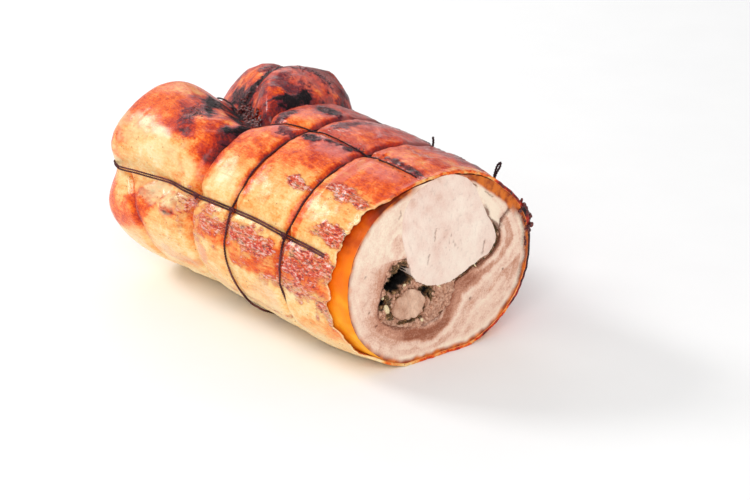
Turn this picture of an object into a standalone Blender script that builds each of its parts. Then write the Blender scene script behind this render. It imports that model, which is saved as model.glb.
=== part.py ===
"""A tied porchetta: a pork loin rolled in its own belly with a herb filling, roasted in the rind.

The roast lies along X with the cut face at +X. Its near side is -Y and it rests on z = 0.
Sizes below are millimetres; the meshes are in metres. `back` is the distance behind the cut
face and `turn` the angle round the roast, from 0 at the far side over 90 at the top.
"""
import math

import bmesh
import bpy
import numpy as np
from mathutils import Matrix, Vector
from mathutils.bvhtree import BVHTree

MM = 0.001
GAP = 0.3                          # clearance between touching pieces

# Outer form: half widths and height at stations behind the cut
STATIONS = (0, 35, 69, 99, 131, 155, 180, 210, 245, 290, 400)
NEAR_WIDTH = (89, 95, 98, 102, 105, 107, 106, 110, 112, 111, 111)
FAR_WIDTH = (94, 97, 98, 93, 88, 86, 86, 97, 96, 92, 92)
HEIGHT = (151, 155, 155, 159, 160, 162, 162, 170, 174, 175, 175)
TOP_ROUNDNESS = 2.1
LOW_STATIONS = (0, 40, 100, 150, 200, 400)
LOW_ROUNDNESS = (2.15, 2.45, 2.15, 2.0, 1.95, 2.0)
SETTLE = 3.5                       # how far the round underside is pressed flat
WALL = 256                         # straight part, measured over the top
SLANT = 24                         # the near side runs this much longer, the far side shorter
CAP = 58                           # depth of the blunt rear end
CAP_BLUNTNESS = 2.6
DIMPLE = 14                        # the end is drawn in where the strings cross
DIMPLE_WIDTH = 0.35                # of the end's own width

# Ring ties: place behind the cut, groove depth, and groove width to the front and to the rear
RINGS = {
    "front": (69, 5.0, 4.5, 4.5),
    "middle": (131, 5.0, 4.5, 4.5),
    "rear": (181, 11.0, 7.0, 13.0),
}

# Lengthwise creases: angle at stations behind the cut, and depth at the tied end
CREASE_STATIONS = (0, 69, 131, 180, 230, 300)
CREASES = {
    "near": ((166, 164, 164, 166, 170, 177), 14),
    "top": ((101, 101, 105, 115, 105, 84), 34),
    "far": ((38, 38, 36, 33, 30, 30), 14),
    "low": ((275, 275, 278, 280, 283, 285), 12),
}
SHALLOW = 3.0                      # crease depth along the body
CREASE_WIDTH = 5.0
END_CREASE_WIDTH = 20.0
TOP_EXTRA_WIDTH = 18.0             # the top crease opens further to the near side

# Swellings and hollows of the roll: back, turn, reach along, reach round, height
SWELLINGS = ((216, 42, 28, 34, 9), (20, 36, 60, 16, -2), (275, 205, 40, 26, 4))
HUMP_END = 0.02                    # height at which a bump is cut off

# The rind is torn back from the cut on the near side
TEAR_TURNS = (112, 128, 150, 172, 196, 225)
TEAR_DEPTHS = (0, 14, 20, 25, 16, 0)
RIND = 2.6

# Cut face
AXIS_HEIGHT = 78                   # the filling narrows towards this height at the tied end
LOIN_CENTRE = (14, 104)
LOIN_RADIUS = 44
TENDERLOIN_CENTRE = (-27, 48)
TENDERLOIN_RADIUS = (15, 12)
CORE_CENTRE = (-20, 55)
CORE_TURNS = (0, 30, 60, 90, 115, 135, 160, 180, 200, 230, 270, 300, 330)
CORE_RADII = (38, 34, 24, 20, 38, 37, 34, 36, 34, 27, 24, 27, 33)
HERB_LAYER = 4.5                   # the herbs between the loin and the belly flap
LAYER_FROM = 2                     # it runs from here to the far side, and up to LAYER_TOP
LAYER_TOP = 103
LAYER_BOX = 400
HOLLOW_CENTRE = (-36, 73)
HOLLOW_SIZE = (11, 9, 34)          # half width, half height and depth of the gap in the herbs
LOIN_REAR = 284                    # how far back each meat and the herbs reach
TENDERLOIN_REAR = 270
CORE_REAR = 276
LAYER_REAR = 280
TAPER_FROM = 30
TAPER_TO = 285
TAPER = 0.62                       # their size at the tied end, of that at the cut
PASS = 3                           # how far a cutter stands out of the cut face

# String
STRING = 1.1                       # radius of the ring ties
STRAND = 0.9                       # radius of the lengthwise strands
STRAND_SPACING = 2.3
CLEAR = 0.5                        # between a string and the rind
RING_LIFT = 1.6                    # a round tie in a V groove sits this many radii above its bottom
END_CLEAR = 0.4                    # more of it over the rounded end
CROSSING = 20                      # the top string rises over the side strands within this reach
PAIR_ENDS = (24, 22)               # where the side strands end near the cut, on the near and far side
TOP_ENDS = (6, 12)                 # the same for the top string, over and under the roast
SLOPE = 0.15                       # how steeply a taut strand dips into a groove
BRIDGE = 30                        # longest half span that it bridges
FINE_STEP = 3.0                    # the rind is felt at this spacing under a strand
KEEP_EVERY = 4                     # of those places, one in so many shapes the strand
KNOT = (3.6, 3.0, 1.9)             # half sizes
SPINE_END = 226                    # strings over the tied end are drawn towards this place
RAY_START = 40                     # the rind is felt from this far outside
NUDGES = ((0.03, 0.01, 0.02), (-0.02, 0.03, -0.01), (-0.03, -0.02, 0.03))
END_POINTS = 48                    # places from the wall to the middle of the tied end

ROUND_STEP = 7.5                   # degrees between the mesh lines along the roast
CREASE_PULL = 30                   # mesh lines this near to a crease are turned towards it
SECTIONS = (0, 12, 20, 27, 46, 60, 65, 69, 73, 79, 100, 121, 127, 131, 135, 142, 160, 172, 177, 181,
            187, 194, 203, 214, 227, 241, 256)
CAP_STEPS = 8
CAP_MIDDLE = 0.985                 # the last ring of the end, close round its middle
CORE_SECTIONS = (TAPER_FROM, 80, 130, 185, 240)
LOIN_SIDES = 28
CORE_SIDES = 26
TENDERLOIN_SIDES = 16


# ---------------------------------------------------------------- scene and materials
def clear_scene():
    for old in list(bpy.data.objects):
        bpy.data.objects.remove(old, do_unlink=True)


def new_collection(name):
    collection = bpy.data.collections.new(name)
    bpy.context.scene.collection.children.link(collection)
    return collection


def material(name, colour, roughness):
    made = bpy.data.materials.new(name)
    made.use_nodes = True
    made.diffuse_color = (*colour, 1.0)
    shader = made.node_tree.nodes["Principled BSDF"]
    shader.inputs["Base Color"].default_value = (*colour, 1.0)
    shader.inputs["Roughness"].default_value = roughness
    shader.inputs["Metallic"].default_value = 0.0
    return made


# ---------------------------------------------------------------- the roast's form
def glide(x, xs, ys):
    """Smooth curve through the stations."""
    xs = np.asarray(xs, float)
    ys = np.asarray(ys, float)
    slopes = np.gradient(ys, xs)
    i = np.clip(np.searchsorted(xs, x) - 1, 0, len(xs) - 2)
    span = xs[i + 1] - xs[i]
    t = np.clip((x - xs[i]) / span, 0.0, 1.0)
    start = (2 * t ** 3 - 3 * t ** 2 + 1) * ys[i] + (t ** 3 - 2 * t ** 2 + t) * span * slopes[i]
    end = (3 * t ** 2 - 2 * t ** 3) * ys[i + 1] + (t ** 3 - t ** 2) * span * slopes[i + 1]
    return start + end


def ease(low, high, x):
    t = np.clip((x - low) / (high - low), 0.0, 1.0)
    return t * t * (3 - 2 * t)


def hump(distance, width):
    """A smooth bump of height 1 that ends at about two widths from its middle."""
    return max(math.exp(-(distance / width) ** 2) - HUMP_END, 0.0) / (1 - HUMP_END)


def angle_between(a, b):
    return (a - b + 180.0) % 360.0 - 180.0


def crease_angle(name, back):
    return float(glide(back, CREASE_STATIONS, CREASES[name][0]))


def rind_radius(back, turn):
    """Distance from the roast's axis to the plump rind, without its grooves."""
    c = math.cos(math.radians(turn))
    s = math.sin(math.radians(turn))
    width = float(glide(back, STATIONS, NEAR_WIDTH if c < 0 else FAR_WIDTH))
    power = TOP_ROUNDNESS if s > 0 else float(glide(back, LOW_STATIONS, LOW_ROUNDNESS))
    r = (abs(c / width) ** power + abs(s / axis_height(back)) ** power) ** (-1 / power)
    behind_ring = 1 - hump(back - RINGS["rear"][0], 12)
    for place, angle, reach, spread, height in SWELLINGS:
        r += height * hump(back - place, reach) * hump(angle_between(turn, angle), spread) * behind_ring
    return r


def axis_height(back):
    return float(glide(back, STATIONS, HEIGHT)) / 2


def ring_groove(back):
    depth = 0.0
    for place, ring_depth, front_width, rear_width in RINGS.values():
        depth += ring_depth * hump(back - place, front_width if back < place else rear_width)
    return depth


def groove_depth(back, turn, r):
    """How far the strings and the torn edge draw the surface in."""
    depth = ring_groove(back)
    tied = float(ease(150, 240, back))
    for name, (_, end_depth) in CREASES.items():
        off = angle_between(turn, crease_angle(name, back))
        width = CREASE_WIDTH + (END_CREASE_WIDTH - CREASE_WIDTH) * tied
        if name == "top" and off > 0:
            width += TOP_EXTRA_WIDTH * tied
        depth += (SHALLOW + (end_depth - SHALLOW) * tied) * hump(math.radians(off) * r, width)
    torn = float(np.interp(turn, TEAR_TURNS, TEAR_DEPTHS, left=0, right=0))
    if torn > 0:
        depth += RIND * (1 - float(ease(torn - 3, torn + 1, back)))
    return depth


def follow_creases(back, turn):
    """Turn the mesh lines nearest to a crease onto it."""
    for name in CREASES:
        mesh_line = round(crease_angle(name, 150) / ROUND_STEP) * ROUND_STEP
        pull = max(0.0, 1 - abs(angle_between(turn, mesh_line)) / CREASE_PULL)
        turn += (crease_angle(name, back) - mesh_line) * pull
    return turn


def skin_point(section, turn):
    """A point of the rind. Sections past WALL run over the rear end, to its middle at WALL + 1."""
    over = min(max(section - WALL, 0.0), 1.0) * math.pi / 2
    scale = max(math.cos(over), 0.0) ** (2 / CAP_BLUNTNESS)
    lean = SLANT * math.cos(math.radians(turn)) * float(ease(190, WALL, min(section, WALL)))
    back = min(section, WALL) + CAP * math.sin(over) ** (2 / CAP_BLUNTNESS) - lean * scale
    c = math.cos(math.radians(turn))
    s = math.sin(math.radians(turn))
    r = rind_radius(back, turn)
    depth = groove_depth(back, turn, r)
    y = (r - depth) * c * scale
    z = max(axis_height(back) + r * s * scale - SETTLE, 0.0) - depth * s * scale
    x = -back + (DIMPLE * hump(scale, DIMPLE_WIDTH) if section > WALL else 0.0)
    return Vector((x, y, z)) * MM


def mesh_point(section, turn):
    return skin_point(section, follow_creases(min(section, WALL), turn))


# ---------------------------------------------------------------- solids
def add_object(name, mesh, collection, finish=None):
    made = bpy.data.objects.new(name, mesh)
    collection.objects.link(made)
    if finish:
        mesh.materials.append(finish)
    return made


def shaped_cylinder(name, sides, levels, place, collection, finish=None):
    """A cylinder with cross cuts at the levels 0..n, each vertex then moved to place(level, turn)."""
    bm = bmesh.new()
    last = len(levels) - 1
    bmesh.ops.create_cone(bm, cap_ends=True, segments=sides, radius1=1, radius2=1, depth=last)
    for level in range(1, last):
        height = level - last / 2
        everything = bm.verts[:] + bm.edges[:] + bm.faces[:]
        bmesh.ops.bisect_plane(bm, geom=everything, plane_co=(0, 0, height), plane_no=(0, 0, 1))
    for vert in bm.verts:
        level = levels[round(vert.co.z + last / 2)]
        turn = math.degrees(math.atan2(vert.co.y, vert.co.x)) % 360.0
        vert.co = place(level, turn)
    bmesh.ops.reverse_faces(bm, faces=bm.faces)      # the new axes mirror the cylinder's own
    bmesh.ops.triangulate(bm, faces=bm.faces)
    mesh = bpy.data.meshes.new(name)
    bm.to_mesh(mesh)
    bm.free()
    return add_object(name, mesh, collection, finish)


def narrowing(back):
    return 1 - (1 - TAPER) * float(ease(TAPER_FROM, TAPER_TO, back))


def section_point(back, y, z):
    """A point of the cut face's layout carried back through the roast."""
    scale = narrowing(back)
    return Vector((-back, y * scale, AXIS_HEIGHT + (z - AXIS_HEIGHT) * scale)) * MM


def loin_outline(turn, grow):
    a = math.radians(turn)
    r = LOIN_RADIUS + 4 * math.cos(2 * (a + math.radians(38))) + 3.5 * math.cos(a - math.radians(235)) + grow
    return LOIN_CENTRE[0] + r * math.cos(a), LOIN_CENTRE[1] + r * math.sin(a)


def tenderloin_outline(turn, grow):
    a = math.radians(turn)
    y = TENDERLOIN_CENTRE[0] + (TENDERLOIN_RADIUS[0] + grow) * math.cos(a)
    return y, TENDERLOIN_CENTRE[1] + (TENDERLOIN_RADIUS[1] + grow) * math.sin(a)


def core_outline(turn, grow):
    turns = (CORE_TURNS[-1] - 360,) + CORE_TURNS + (360,)
    radii = (CORE_RADII[-1],) + CORE_RADII + (CORE_RADII[0],)
    r = float(glide(turn, turns, radii)) + grow
    a = math.radians(turn)
    return CORE_CENTRE[0] + r * math.cos(a), CORE_CENTRE[1] + r * math.sin(a)


def core_prism(name, outline, grow, front, rear, sides, collection, finish=None):
    """A solid with the outline's section from front to rear, `grow` larger all round."""
    backs = [front, *CORE_SECTIONS, rear]

    def place(back, turn):
        y, z = outline(turn, grow)
        return section_point(back, y, z)

    return shaped_cylinder(name, sides, backs, place, collection, finish)


def combine(target, tool, operation):
    modifier = target.modifiers.new(operation.title(), "BOOLEAN")
    modifier.object = tool
    modifier.operation = operation
    modifier.solver = "EXACT"


def settle_mesh(target):
    """Apply the modifiers, so that later steps read the finished shape."""
    evaluated = target.evaluated_get(bpy.context.evaluated_depsgraph_get())
    mesh = bpy.data.meshes.new_from_object(evaluated)
    target.modifiers.clear()
    target.data = mesh


def cutter(made):
    made.hide_render = True
    made.display_type = "WIRE"
    return made


def block_cutter(name, low, high, collection):
    bm = bmesh.new()
    bmesh.ops.create_cube(bm, size=1)
    low = Vector(low) * MM
    high = Vector(high) * MM
    size = high - low
    bm.transform(Matrix.Translation((low + high) / 2) @ Matrix.Diagonal((*size, 1)))
    mesh = bpy.data.meshes.new(name)
    bm.to_mesh(mesh)
    bm.free()
    return cutter(add_object(name, mesh, collection))


# ---------------------------------------------------------------- meat
def make_belly(parts, cutters, finish):
    sections = list(SECTIONS) + [WALL + (step + 1) / CAP_STEPS * CAP_MIDDLE for step in range(CAP_STEPS)]
    belly = shaped_cylinder("belly_wrap", round(360 / ROUND_STEP), sections, mesh_point, parts, finish)
    loin_room = core_prism("loin_room", loin_outline, GAP, -2 * PASS, LOIN_REAR + GAP, LOIN_SIDES, cutters)
    core_room = core_prism("core_room", core_outline, GAP, -1.7 * PASS, CORE_REAR + GAP, CORE_SIDES, cutters)
    layer_room = layer_solid("layer_room", GAP, -1.4 * PASS, LAYER_REAR + GAP, cutters)
    for room in (core_room, layer_room):
        combine(loin_room, cutter(room), "UNION")
    combine(belly, cutter(loin_room), "DIFFERENCE")
    settle_mesh(belly)
    return belly


def layer_solid(name, grow, front, rear, collection, finish=None):
    """The herb layer: a wider loin section, kept only below and beside the loin."""
    layer = core_prism(name, loin_outline, HERB_LAYER + grow, front, rear, LOIN_SIDES, collection, finish)
    low = (-LAYER_BOX, LAYER_FROM - grow, 0)
    high = (LAYER_BOX, LAYER_BOX, LAYER_TOP + grow)
    keep = block_cutter(name + "_reach", low, high, collection)
    combine(layer, keep, "INTERSECT")
    settle_mesh(layer)
    return layer


def make_filling(parts, cutters, finish):
    filling = core_prism("herb_filling", core_outline, 0, 0, CORE_REAR, CORE_SIDES, parts, finish)
    layer = cutter(layer_solid("layer", 0, 0, LAYER_REAR, cutters))
    loin_room = core_prism("loin_clearance", loin_outline, GAP, -PASS, LOIN_REAR + PASS, LOIN_SIDES, cutters)
    tender_room = core_prism("tenderloin_clearance", tenderloin_outline, GAP, -PASS, TENDERLOIN_REAR + GAP,
                             TENDERLOIN_SIDES, cutters)
    combine(filling, layer, "UNION")
    combine(filling, cutter(loin_room), "DIFFERENCE")
    combine(filling, cutter(tender_room), "DIFFERENCE")
    combine(filling, hollow_cutter(cutters), "DIFFERENCE")
    settle_mesh(filling)
    return filling


def hollow_cutter(cutters):
    """The gap left in the herbs at the cut, a blunt hollow running back from the face."""
    bm = bmesh.new()
    bmesh.ops.create_uvsphere(bm, u_segments=16, v_segments=8, radius=1)
    half_width, half_height, depth = HOLLOW_SIZE
    size = Matrix.Diagonal((depth * MM, half_width * MM, half_height * MM, 1))
    bm.transform(Matrix.Translation((0, HOLLOW_CENTRE[0] * MM, HOLLOW_CENTRE[1] * MM)) @ size)
    mesh = bpy.data.meshes.new("hollow")
    bm.to_mesh(mesh)
    bm.free()
    return cutter(add_object("hollow", mesh, cutters))


# ---------------------------------------------------------------- string
def surface_tree(solid):
    return BVHTree.FromObject(solid, bpy.context.evaluated_depsgraph_get())


def spine_point(place):
    """The middle of the roast that a string is drawn towards at this place."""
    return Vector((max(place.x, -SPINE_END * MM), 0, AXIS_HEIGHT * MM))


def rind_distance(tree, guess):
    """From the spine out to the rind in the direction of the guess, with that direction."""
    spine = spine_point(guess)
    outward = (guess - spine).normalized()
    found = []
    for nudge in NUDGES:                     # a ray along the mesh's own edges can slip through
        place, _, _, _ = tree.ray_cast(guess + outward * RAY_START * MM + Vector(nudge) * MM, -outward)
        found.append((place - spine).length)
    return max(found), outward


def tube(name, points, radius, closed, parts, finish):
    """A string as a curve with round section, turned into a closed mesh."""
    curve = bpy.data.curves.new(name, "CURVE")
    curve.dimensions = "3D"
    curve.bevel_depth = radius * MM
    curve.bevel_resolution = 1
    curve.use_fill_caps = not closed
    spline = curve.splines.new("POLY")
    spline.points.add(len(points) - 1)
    for point, target in zip(points, spline.points):
        target.co = (*point, 1)
    spline.use_cyclic_u = closed
    guide = bpy.data.objects.new(name + "_guide", curve)
    parts.objects.link(guide)
    bpy.context.view_layer.update()
    evaluated = guide.evaluated_get(bpy.context.evaluated_depsgraph_get())
    mesh = bpy.data.meshes.new_from_object(evaluated)
    bpy.data.objects.remove(guide)
    bm = bmesh.new()
    bm.from_mesh(mesh)
    bmesh.ops.remove_doubles(bm, verts=bm.verts, dist=0.00001)
    bmesh.ops.recalc_face_normals(bm, faces=bm.faces)
    bm.to_mesh(mesh)
    bm.free()
    mesh.materials.clear()
    return add_object(name, mesh, parts, finish)


def make_ring(key, tree, parts, finish):
    """A tie lying at the bottom of its groove, under the lengthwise strings."""
    place = RINGS[key][0]
    points = []
    for line in range(round(360 / ROUND_STEP)):
        guess = mesh_point(place, line * ROUND_STEP)
        distance, outward = rind_distance(tree, guess)
        points.append(spine_point(guess) + outward * (distance + (RING_LIFT * STRING + CLEAR) * MM))
    return tube("ring_tie_" + key, points, STRING, True, parts, finish)


def crease_line(out_crease, home_crease, start, stop):
    """Sections and rind points along one crease to the tied end, over it, and home along another."""
    over = [WALL + step / END_POINTS for step in range(1, END_POINTS)]
    out = list(np.arange(start, WALL, FINE_STEP)) + over
    home = over[::-1] + list(np.arange(WALL, stop, -FINE_STEP))
    line = []
    for crease, sections in ((out_crease, out), (home_crease, home)):
        for section in sections:
            back = min(section, WALL) + CAP * max(section - WALL, 0.0)
            line.append((section, skin_point(section, crease_angle(crease, back))))
    return line


def bridging(section):
    """How far a taut strand stays above the bottom of a ring groove."""
    if section >= WALL:
        return 0.0
    reach = np.arange(-BRIDGE, BRIDGE + 1)
    dips = [ring_groove(section + step) + SLOPE * abs(step) for step in reach]
    return ring_groove(section) - min(dips)


def make_strand(name, creases, ends, aside, end_lift, tree, parts, finish):
    """A taut strand that lies on the high places of the rind and bridges the ring grooves."""
    line = crease_line(*creases, *ends)
    middle = skin_point(WALL + 1, 0)
    felt = []
    for i, (section, place) in enumerate(line):
        along = line[min(i + 1, len(line) - 1)][1] - line[max(i - 1, 0)][1]
        sideways = along.cross(place - spine_point(place)).normalized() * aside * MM
        guess = place + sideways
        distance, outward = rind_distance(tree, guess)
        lift = STRAND + CLEAR + bridging(section)
        if section > WALL:
            lift += END_CLEAR + end_lift * hump((place - middle).length / MM, CROSSING)
        felt.append((spine_point(guess), outward, distance + lift * MM))
    points = []
    for i in range(0, len(felt), KEEP_EVERY):
        spine, outward, _ = felt[i]
        near = felt[max(i - 1, 0):i + 2]
        points.append(spine + outward * max(height for _, _, height in near))
    tube(name, points, STRAND, False, parts, finish)
    return points


def make_knot(key, strands, parts, finish):
    """The small flat knot where a ring tie meets the pair of side strands."""
    middles = []
    for points in strands:
        near_side = points[:len(points) // 2]
        place = -RINGS[key][0] * MM
        before = max((p for p in near_side if p.x < place), key=lambda p: p.x)
        after = min((p for p in near_side if p.x >= place), key=lambda p: p.x)
        middles.append(before.lerp(after, (place - before.x) / (after.x - before.x)))
    middle = (middles[0] + middles[1]) / 2
    outward = (middle - spine_point(middle)).normalized()
    bm = bmesh.new()
    bmesh.ops.create_uvsphere(bm, u_segments=8, v_segments=6, radius=1)
    turned = outward.to_track_quat("Z", "X").to_matrix().to_4x4()
    size = Matrix.Diagonal((KNOT[0] * MM, KNOT[1] * MM, KNOT[2] * MM, 1))
    centre = middle + outward * (STRAND + GAP + KNOT[2]) * MM
    bm.transform(Matrix.Translation(centre) @ turned @ size)
    mesh = bpy.data.meshes.new("knot_" + key)
    bm.to_mesh(mesh)
    bm.free()
    return add_object("knot_" + key, mesh, parts, finish)


# ---------------------------------------------------------------- assembly
def centre_on_base(objects):
    """Move every mesh so that the whole stands on z = 0 with its box centred on the origin."""
    corners = [vert.co for made in objects for vert in made.data.vertices]
    low = [min(co[axis] for co in corners) for axis in range(3)]
    high = [max(co[axis] for co in corners) for axis in range(3)]
    shift = Matrix.Translation((-(low[0] + high[0]) / 2, -(low[1] + high[1]) / 2, -low[2]))
    for made in objects:
        made.data.transform(shift)


def main():
    clear_scene()
    parts = new_collection("porchetta")
    cutters = new_collection("cutters")
    rind = material("roasted_rind", (0.62, 0.22, 0.06), 0.35)
    loin_meat = material("loin_meat", (0.80, 0.62, 0.52), 0.55)
    tender_meat = material("tenderloin_meat", (0.70, 0.50, 0.42), 0.55)
    herbs = material("herbs", (0.16, 0.11, 0.06), 0.8)
    twine = material("browned_twine", (0.17, 0.08, 0.05), 0.8)

    belly = make_belly(parts, cutters, rind)
    core_prism("loin", loin_outline, 0, 0, LOIN_REAR, LOIN_SIDES, parts, loin_meat)
    core_prism("tenderloin", tenderloin_outline, 0, 0, TENDERLOIN_REAR, TENDERLOIN_SIDES, parts, tender_meat)
    make_filling(parts, cutters, herbs)

    tree = surface_tree(belly)
    for key in RINGS:
        make_ring(key, tree, parts, twine)
    strands = []
    for name, side in (("side_string_upper", 1), ("side_string_lower", -1)):
        aside = side * STRAND_SPACING / 2
        strands.append(make_strand(name, ("near", "far"), PAIR_ENDS, aside, 0, tree, parts, twine))
    make_strand("top_string", ("top", "low"), TOP_ENDS, 0, 2 * STRAND + 2 * CLEAR, tree, parts, twine)
    for key in RINGS:
        make_knot(key, strands, parts, twine)
    centre_on_base(list(parts.objects))


main()
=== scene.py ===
# %% [markdown]
# # A tied porchetta
# A porchetta is a pork belly rolled round a loin with herbs, tied with twine and roasted until its rind
# browns and blisters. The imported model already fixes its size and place. These cells build the looks:
# first the form, then meat, rind, herbs and twine, and at the end the finishes, the light and the camera.

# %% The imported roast
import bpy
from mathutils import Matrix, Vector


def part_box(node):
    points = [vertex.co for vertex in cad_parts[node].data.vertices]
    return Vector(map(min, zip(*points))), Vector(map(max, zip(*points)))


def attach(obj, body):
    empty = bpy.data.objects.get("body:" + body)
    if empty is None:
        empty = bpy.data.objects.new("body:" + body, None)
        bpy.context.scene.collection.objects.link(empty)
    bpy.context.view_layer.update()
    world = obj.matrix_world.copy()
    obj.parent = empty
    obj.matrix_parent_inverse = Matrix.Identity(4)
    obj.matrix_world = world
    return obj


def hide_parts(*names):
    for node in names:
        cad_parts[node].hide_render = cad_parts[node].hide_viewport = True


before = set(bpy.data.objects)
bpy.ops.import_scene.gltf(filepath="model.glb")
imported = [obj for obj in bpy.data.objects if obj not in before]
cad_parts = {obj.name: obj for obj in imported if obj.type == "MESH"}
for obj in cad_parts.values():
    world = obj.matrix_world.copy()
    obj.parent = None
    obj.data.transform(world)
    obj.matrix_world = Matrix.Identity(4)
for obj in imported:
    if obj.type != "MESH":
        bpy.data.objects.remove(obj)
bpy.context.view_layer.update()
print("nodes:", ", ".join(sorted(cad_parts)))

# %% Modules
import math

import bmesh
import bpy
import numpy as np
from mathutils import Vector
from mathutils.bvhtree import BVHTree

# %% [markdown]
# The roast lies along X with its cut face at +X. Everything is worked out in millimetres in the roast's
# own terms: `back` is the distance behind the cut and `turn` the angle round the roast, from 0 on the far
# side over 90 on top to 180 on the near side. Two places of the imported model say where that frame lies.

# %% Where the roast lies
MM = 0.001
AXIS_HEIGHT = 78
TENDERLOIN_SIDE = 42               # mm from the tenderloin's near side to the roast's middle
CUT_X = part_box("belly_wrap")[1].x
AXIS_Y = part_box("tenderloin")[0].y + TENDERLOIN_SIDE * MM
print(f"cut face at x = {CUT_X:.4f} m, middle at y = {AXIS_Y:.4f} m")


def to_world(points):
    """Points in mm behind the cut become metres in the model's frame."""
    x, y, z = np.asarray(points, float).T
    return np.stack([CUT_X + x * MM, AXIS_Y + y * MM, z * MM], axis=-1)


def to_roast(points):
    """The same way back, from metres to millimetres."""
    x, y, z = np.asarray(points, float).T
    return np.stack([(x - CUT_X) / MM, (y - AXIS_Y) / MM, z / MM], axis=-1)


# %% [markdown]
# Organic shapes need a few smooth curves: one through measured stations, an easing step, a round hump,
# and noise for the unevenness of meat. All of them work on whole arrays, because a fine skin has tens of
# thousands of points and Python is slow when it handles them one by one.

# %% Curves and noise
NOISE_VALUES = 4096
NOISE_PRIMES = (73856093, 19349663, 83492791)


def glide(x, stations, values):
    """A smooth curve through the stations."""
    xs = np.asarray(stations, float)
    ys = np.asarray(values, float)
    slopes = np.gradient(ys, xs)
    i = np.clip(np.searchsorted(xs, x) - 1, 0, len(xs) - 2)
    span = xs[i + 1] - xs[i]
    t = np.clip((x - xs[i]) / span, 0, 1)
    start = (2 * t ** 3 - 3 * t ** 2 + 1) * ys[i] + (t ** 3 - 2 * t ** 2 + t) * span * slopes[i]
    end = (3 * t ** 2 - 2 * t ** 3) * ys[i + 1] + (t ** 3 - t ** 2) * span * slopes[i + 1]
    return start + end


def ease(low, high, x):
    """0 before low, 1 past high and a soft step between; a low above high turns the step round."""
    t = np.clip((x - low) / (high - low), 0, 1)
    return t * t * (3 - 2 * t)


def hump(distance, width):
    """1 in the middle, fading to nothing over about twice the width."""
    return np.exp(-(distance / width) ** 2)


def turn_off(turn, middle):
    """How many degrees a turn is past a middle, between -180 and 180."""
    return (turn - middle + 180) % 360 - 180


def lumps(points, size, seed):
    """Smooth noise between -1 and 1, with lumps about `size` mm apart."""
    table = np.random.default_rng(seed).uniform(-1, 1, NOISE_VALUES)
    place = np.asarray(points, float) / size
    cell = np.floor(place).astype(np.int64)
    t = place - cell
    t = t * t * (3 - 2 * t)
    total = 0
    for corner in np.ndindex(2, 2, 2):
        key = np.bitwise_xor.reduce((cell + corner) * NOISE_PRIMES, axis=1)
        weight = np.prod(np.where(corner, t, 1 - t), axis=1)
        total = total + weight * table[key % NOISE_VALUES]
    return total


def rough(points, size, seed):
    """Three sizes of lumps together."""
    return (lumps(points, size, seed) + 0.5 * lumps(points, size / 2.1, seed + 1)
            + 0.25 * lumps(points, size / 4.3, seed + 2)) / 1.4


# %% [markdown]
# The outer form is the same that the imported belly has: half widths and a height at stations behind the
# cut, three grooves where the ties bite in, and four lengthwise creases. The creases start shallow at the
# cut and deepen into the folds of the tied rear end. Writing the form down again as a function gives a
# surface as fine as we like, and the same function later tells the strings where to lie.

# %% The roast's form (mm)
STATIONS = (0, 35, 69, 99, 131, 155, 180, 210, 245, 290, 400)
NEAR_WIDTH = (89, 95, 98, 102, 105, 107, 106, 110, 112, 111, 111)
FAR_WIDTH = (94, 97, 98, 93, 88, 86, 86, 97, 96, 92, 92)
HEIGHT = (151, 155, 155, 159, 160, 162, 162, 170, 174, 175, 175)
TOP_ROUNDNESS = 2.1
LOW_STATIONS = (0, 40, 100, 150, 200, 400)
LOW_ROUNDNESS = (2.15, 2.45, 2.15, 2.0, 1.95, 2.0)
SETTLE = 3.5                       # the underside is pressed flat by its own weight
WALL = 256                         # length of the side, before it turns over the rear end
SLANT = 24                         # the rear end leans: its near side reaches further back
CAP = 58                           # how far the rear end bulges past the side
CAP_BLUNTNESS = 2.6
CAP_TRAVEL = 100                   # way over the rear end to its middle
FORM_END = WALL + CAP_TRAVEL
DIMPLE = 14

# place of a tie's groove, its depth, how wide it is to the front and to the rear
RINGS = {"front": (69, 5.0, 4.5, 4.5), "middle": (131, 5.0, 4.5, 4.5), "rear": (181, 11.0, 7.0, 13.0)}

# turn of a crease at each station, and its depth at the tied end
CREASE_STATIONS = (0, 69, 131, 180, 230, 300)
CREASES = {
    "near": ((166, 164, 164, 166, 170, 177), 14),
    "top": ((101, 101, 105, 115, 105, 84), 34),
    "far": ((38, 38, 36, 33, 30, 30), 14),
    "low": ((275, 275, 278, 280, 283, 285), 12),
}
CREASE_DEPTH = 3
CREASE_WIDTH = 5
FOLD_WIDTH = 20

# place, turn, reach along, reach round in degrees, height
SWELLINGS = ((216, 42, 28, 34, 9), (20, 36, 60, 16, -2), (275, 205, 40, 26, 4))
RIND = 2.4                         # thickness of the rind


# %% A point on the form
def crease_turn(name, back):
    """The turn at which a crease runs, at a distance behind the cut."""
    return glide(back, CREASE_STATIONS, CREASES[name][0])


def draw_in(back, turn, radius):
    """How far the tie grooves and creases draw the rind in."""
    depth = 0
    for place, ring_depth, front, rear in RINGS.values():
        depth = depth + ring_depth * hump(back - place, np.where(back < place, front, rear))
    tied = ease(150, 240, back)
    for name, (_, end_depth) in CREASES.items():
        off = turn_off(turn, crease_turn(name, back))
        width = CREASE_WIDTH + (FOLD_WIDTH - CREASE_WIDTH) * tied
        if name == "top":
            width = width + np.where(off > 0, 18 * tied, 0)
        near_cut = 0.15 + 0.85 * ease(2, 34, back)
        middle_depth = CREASE_DEPTH * near_cut + (end_depth - CREASE_DEPTH) * tied
        depth = depth + middle_depth * hump(np.radians(off) * radius, width)
    return depth


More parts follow.
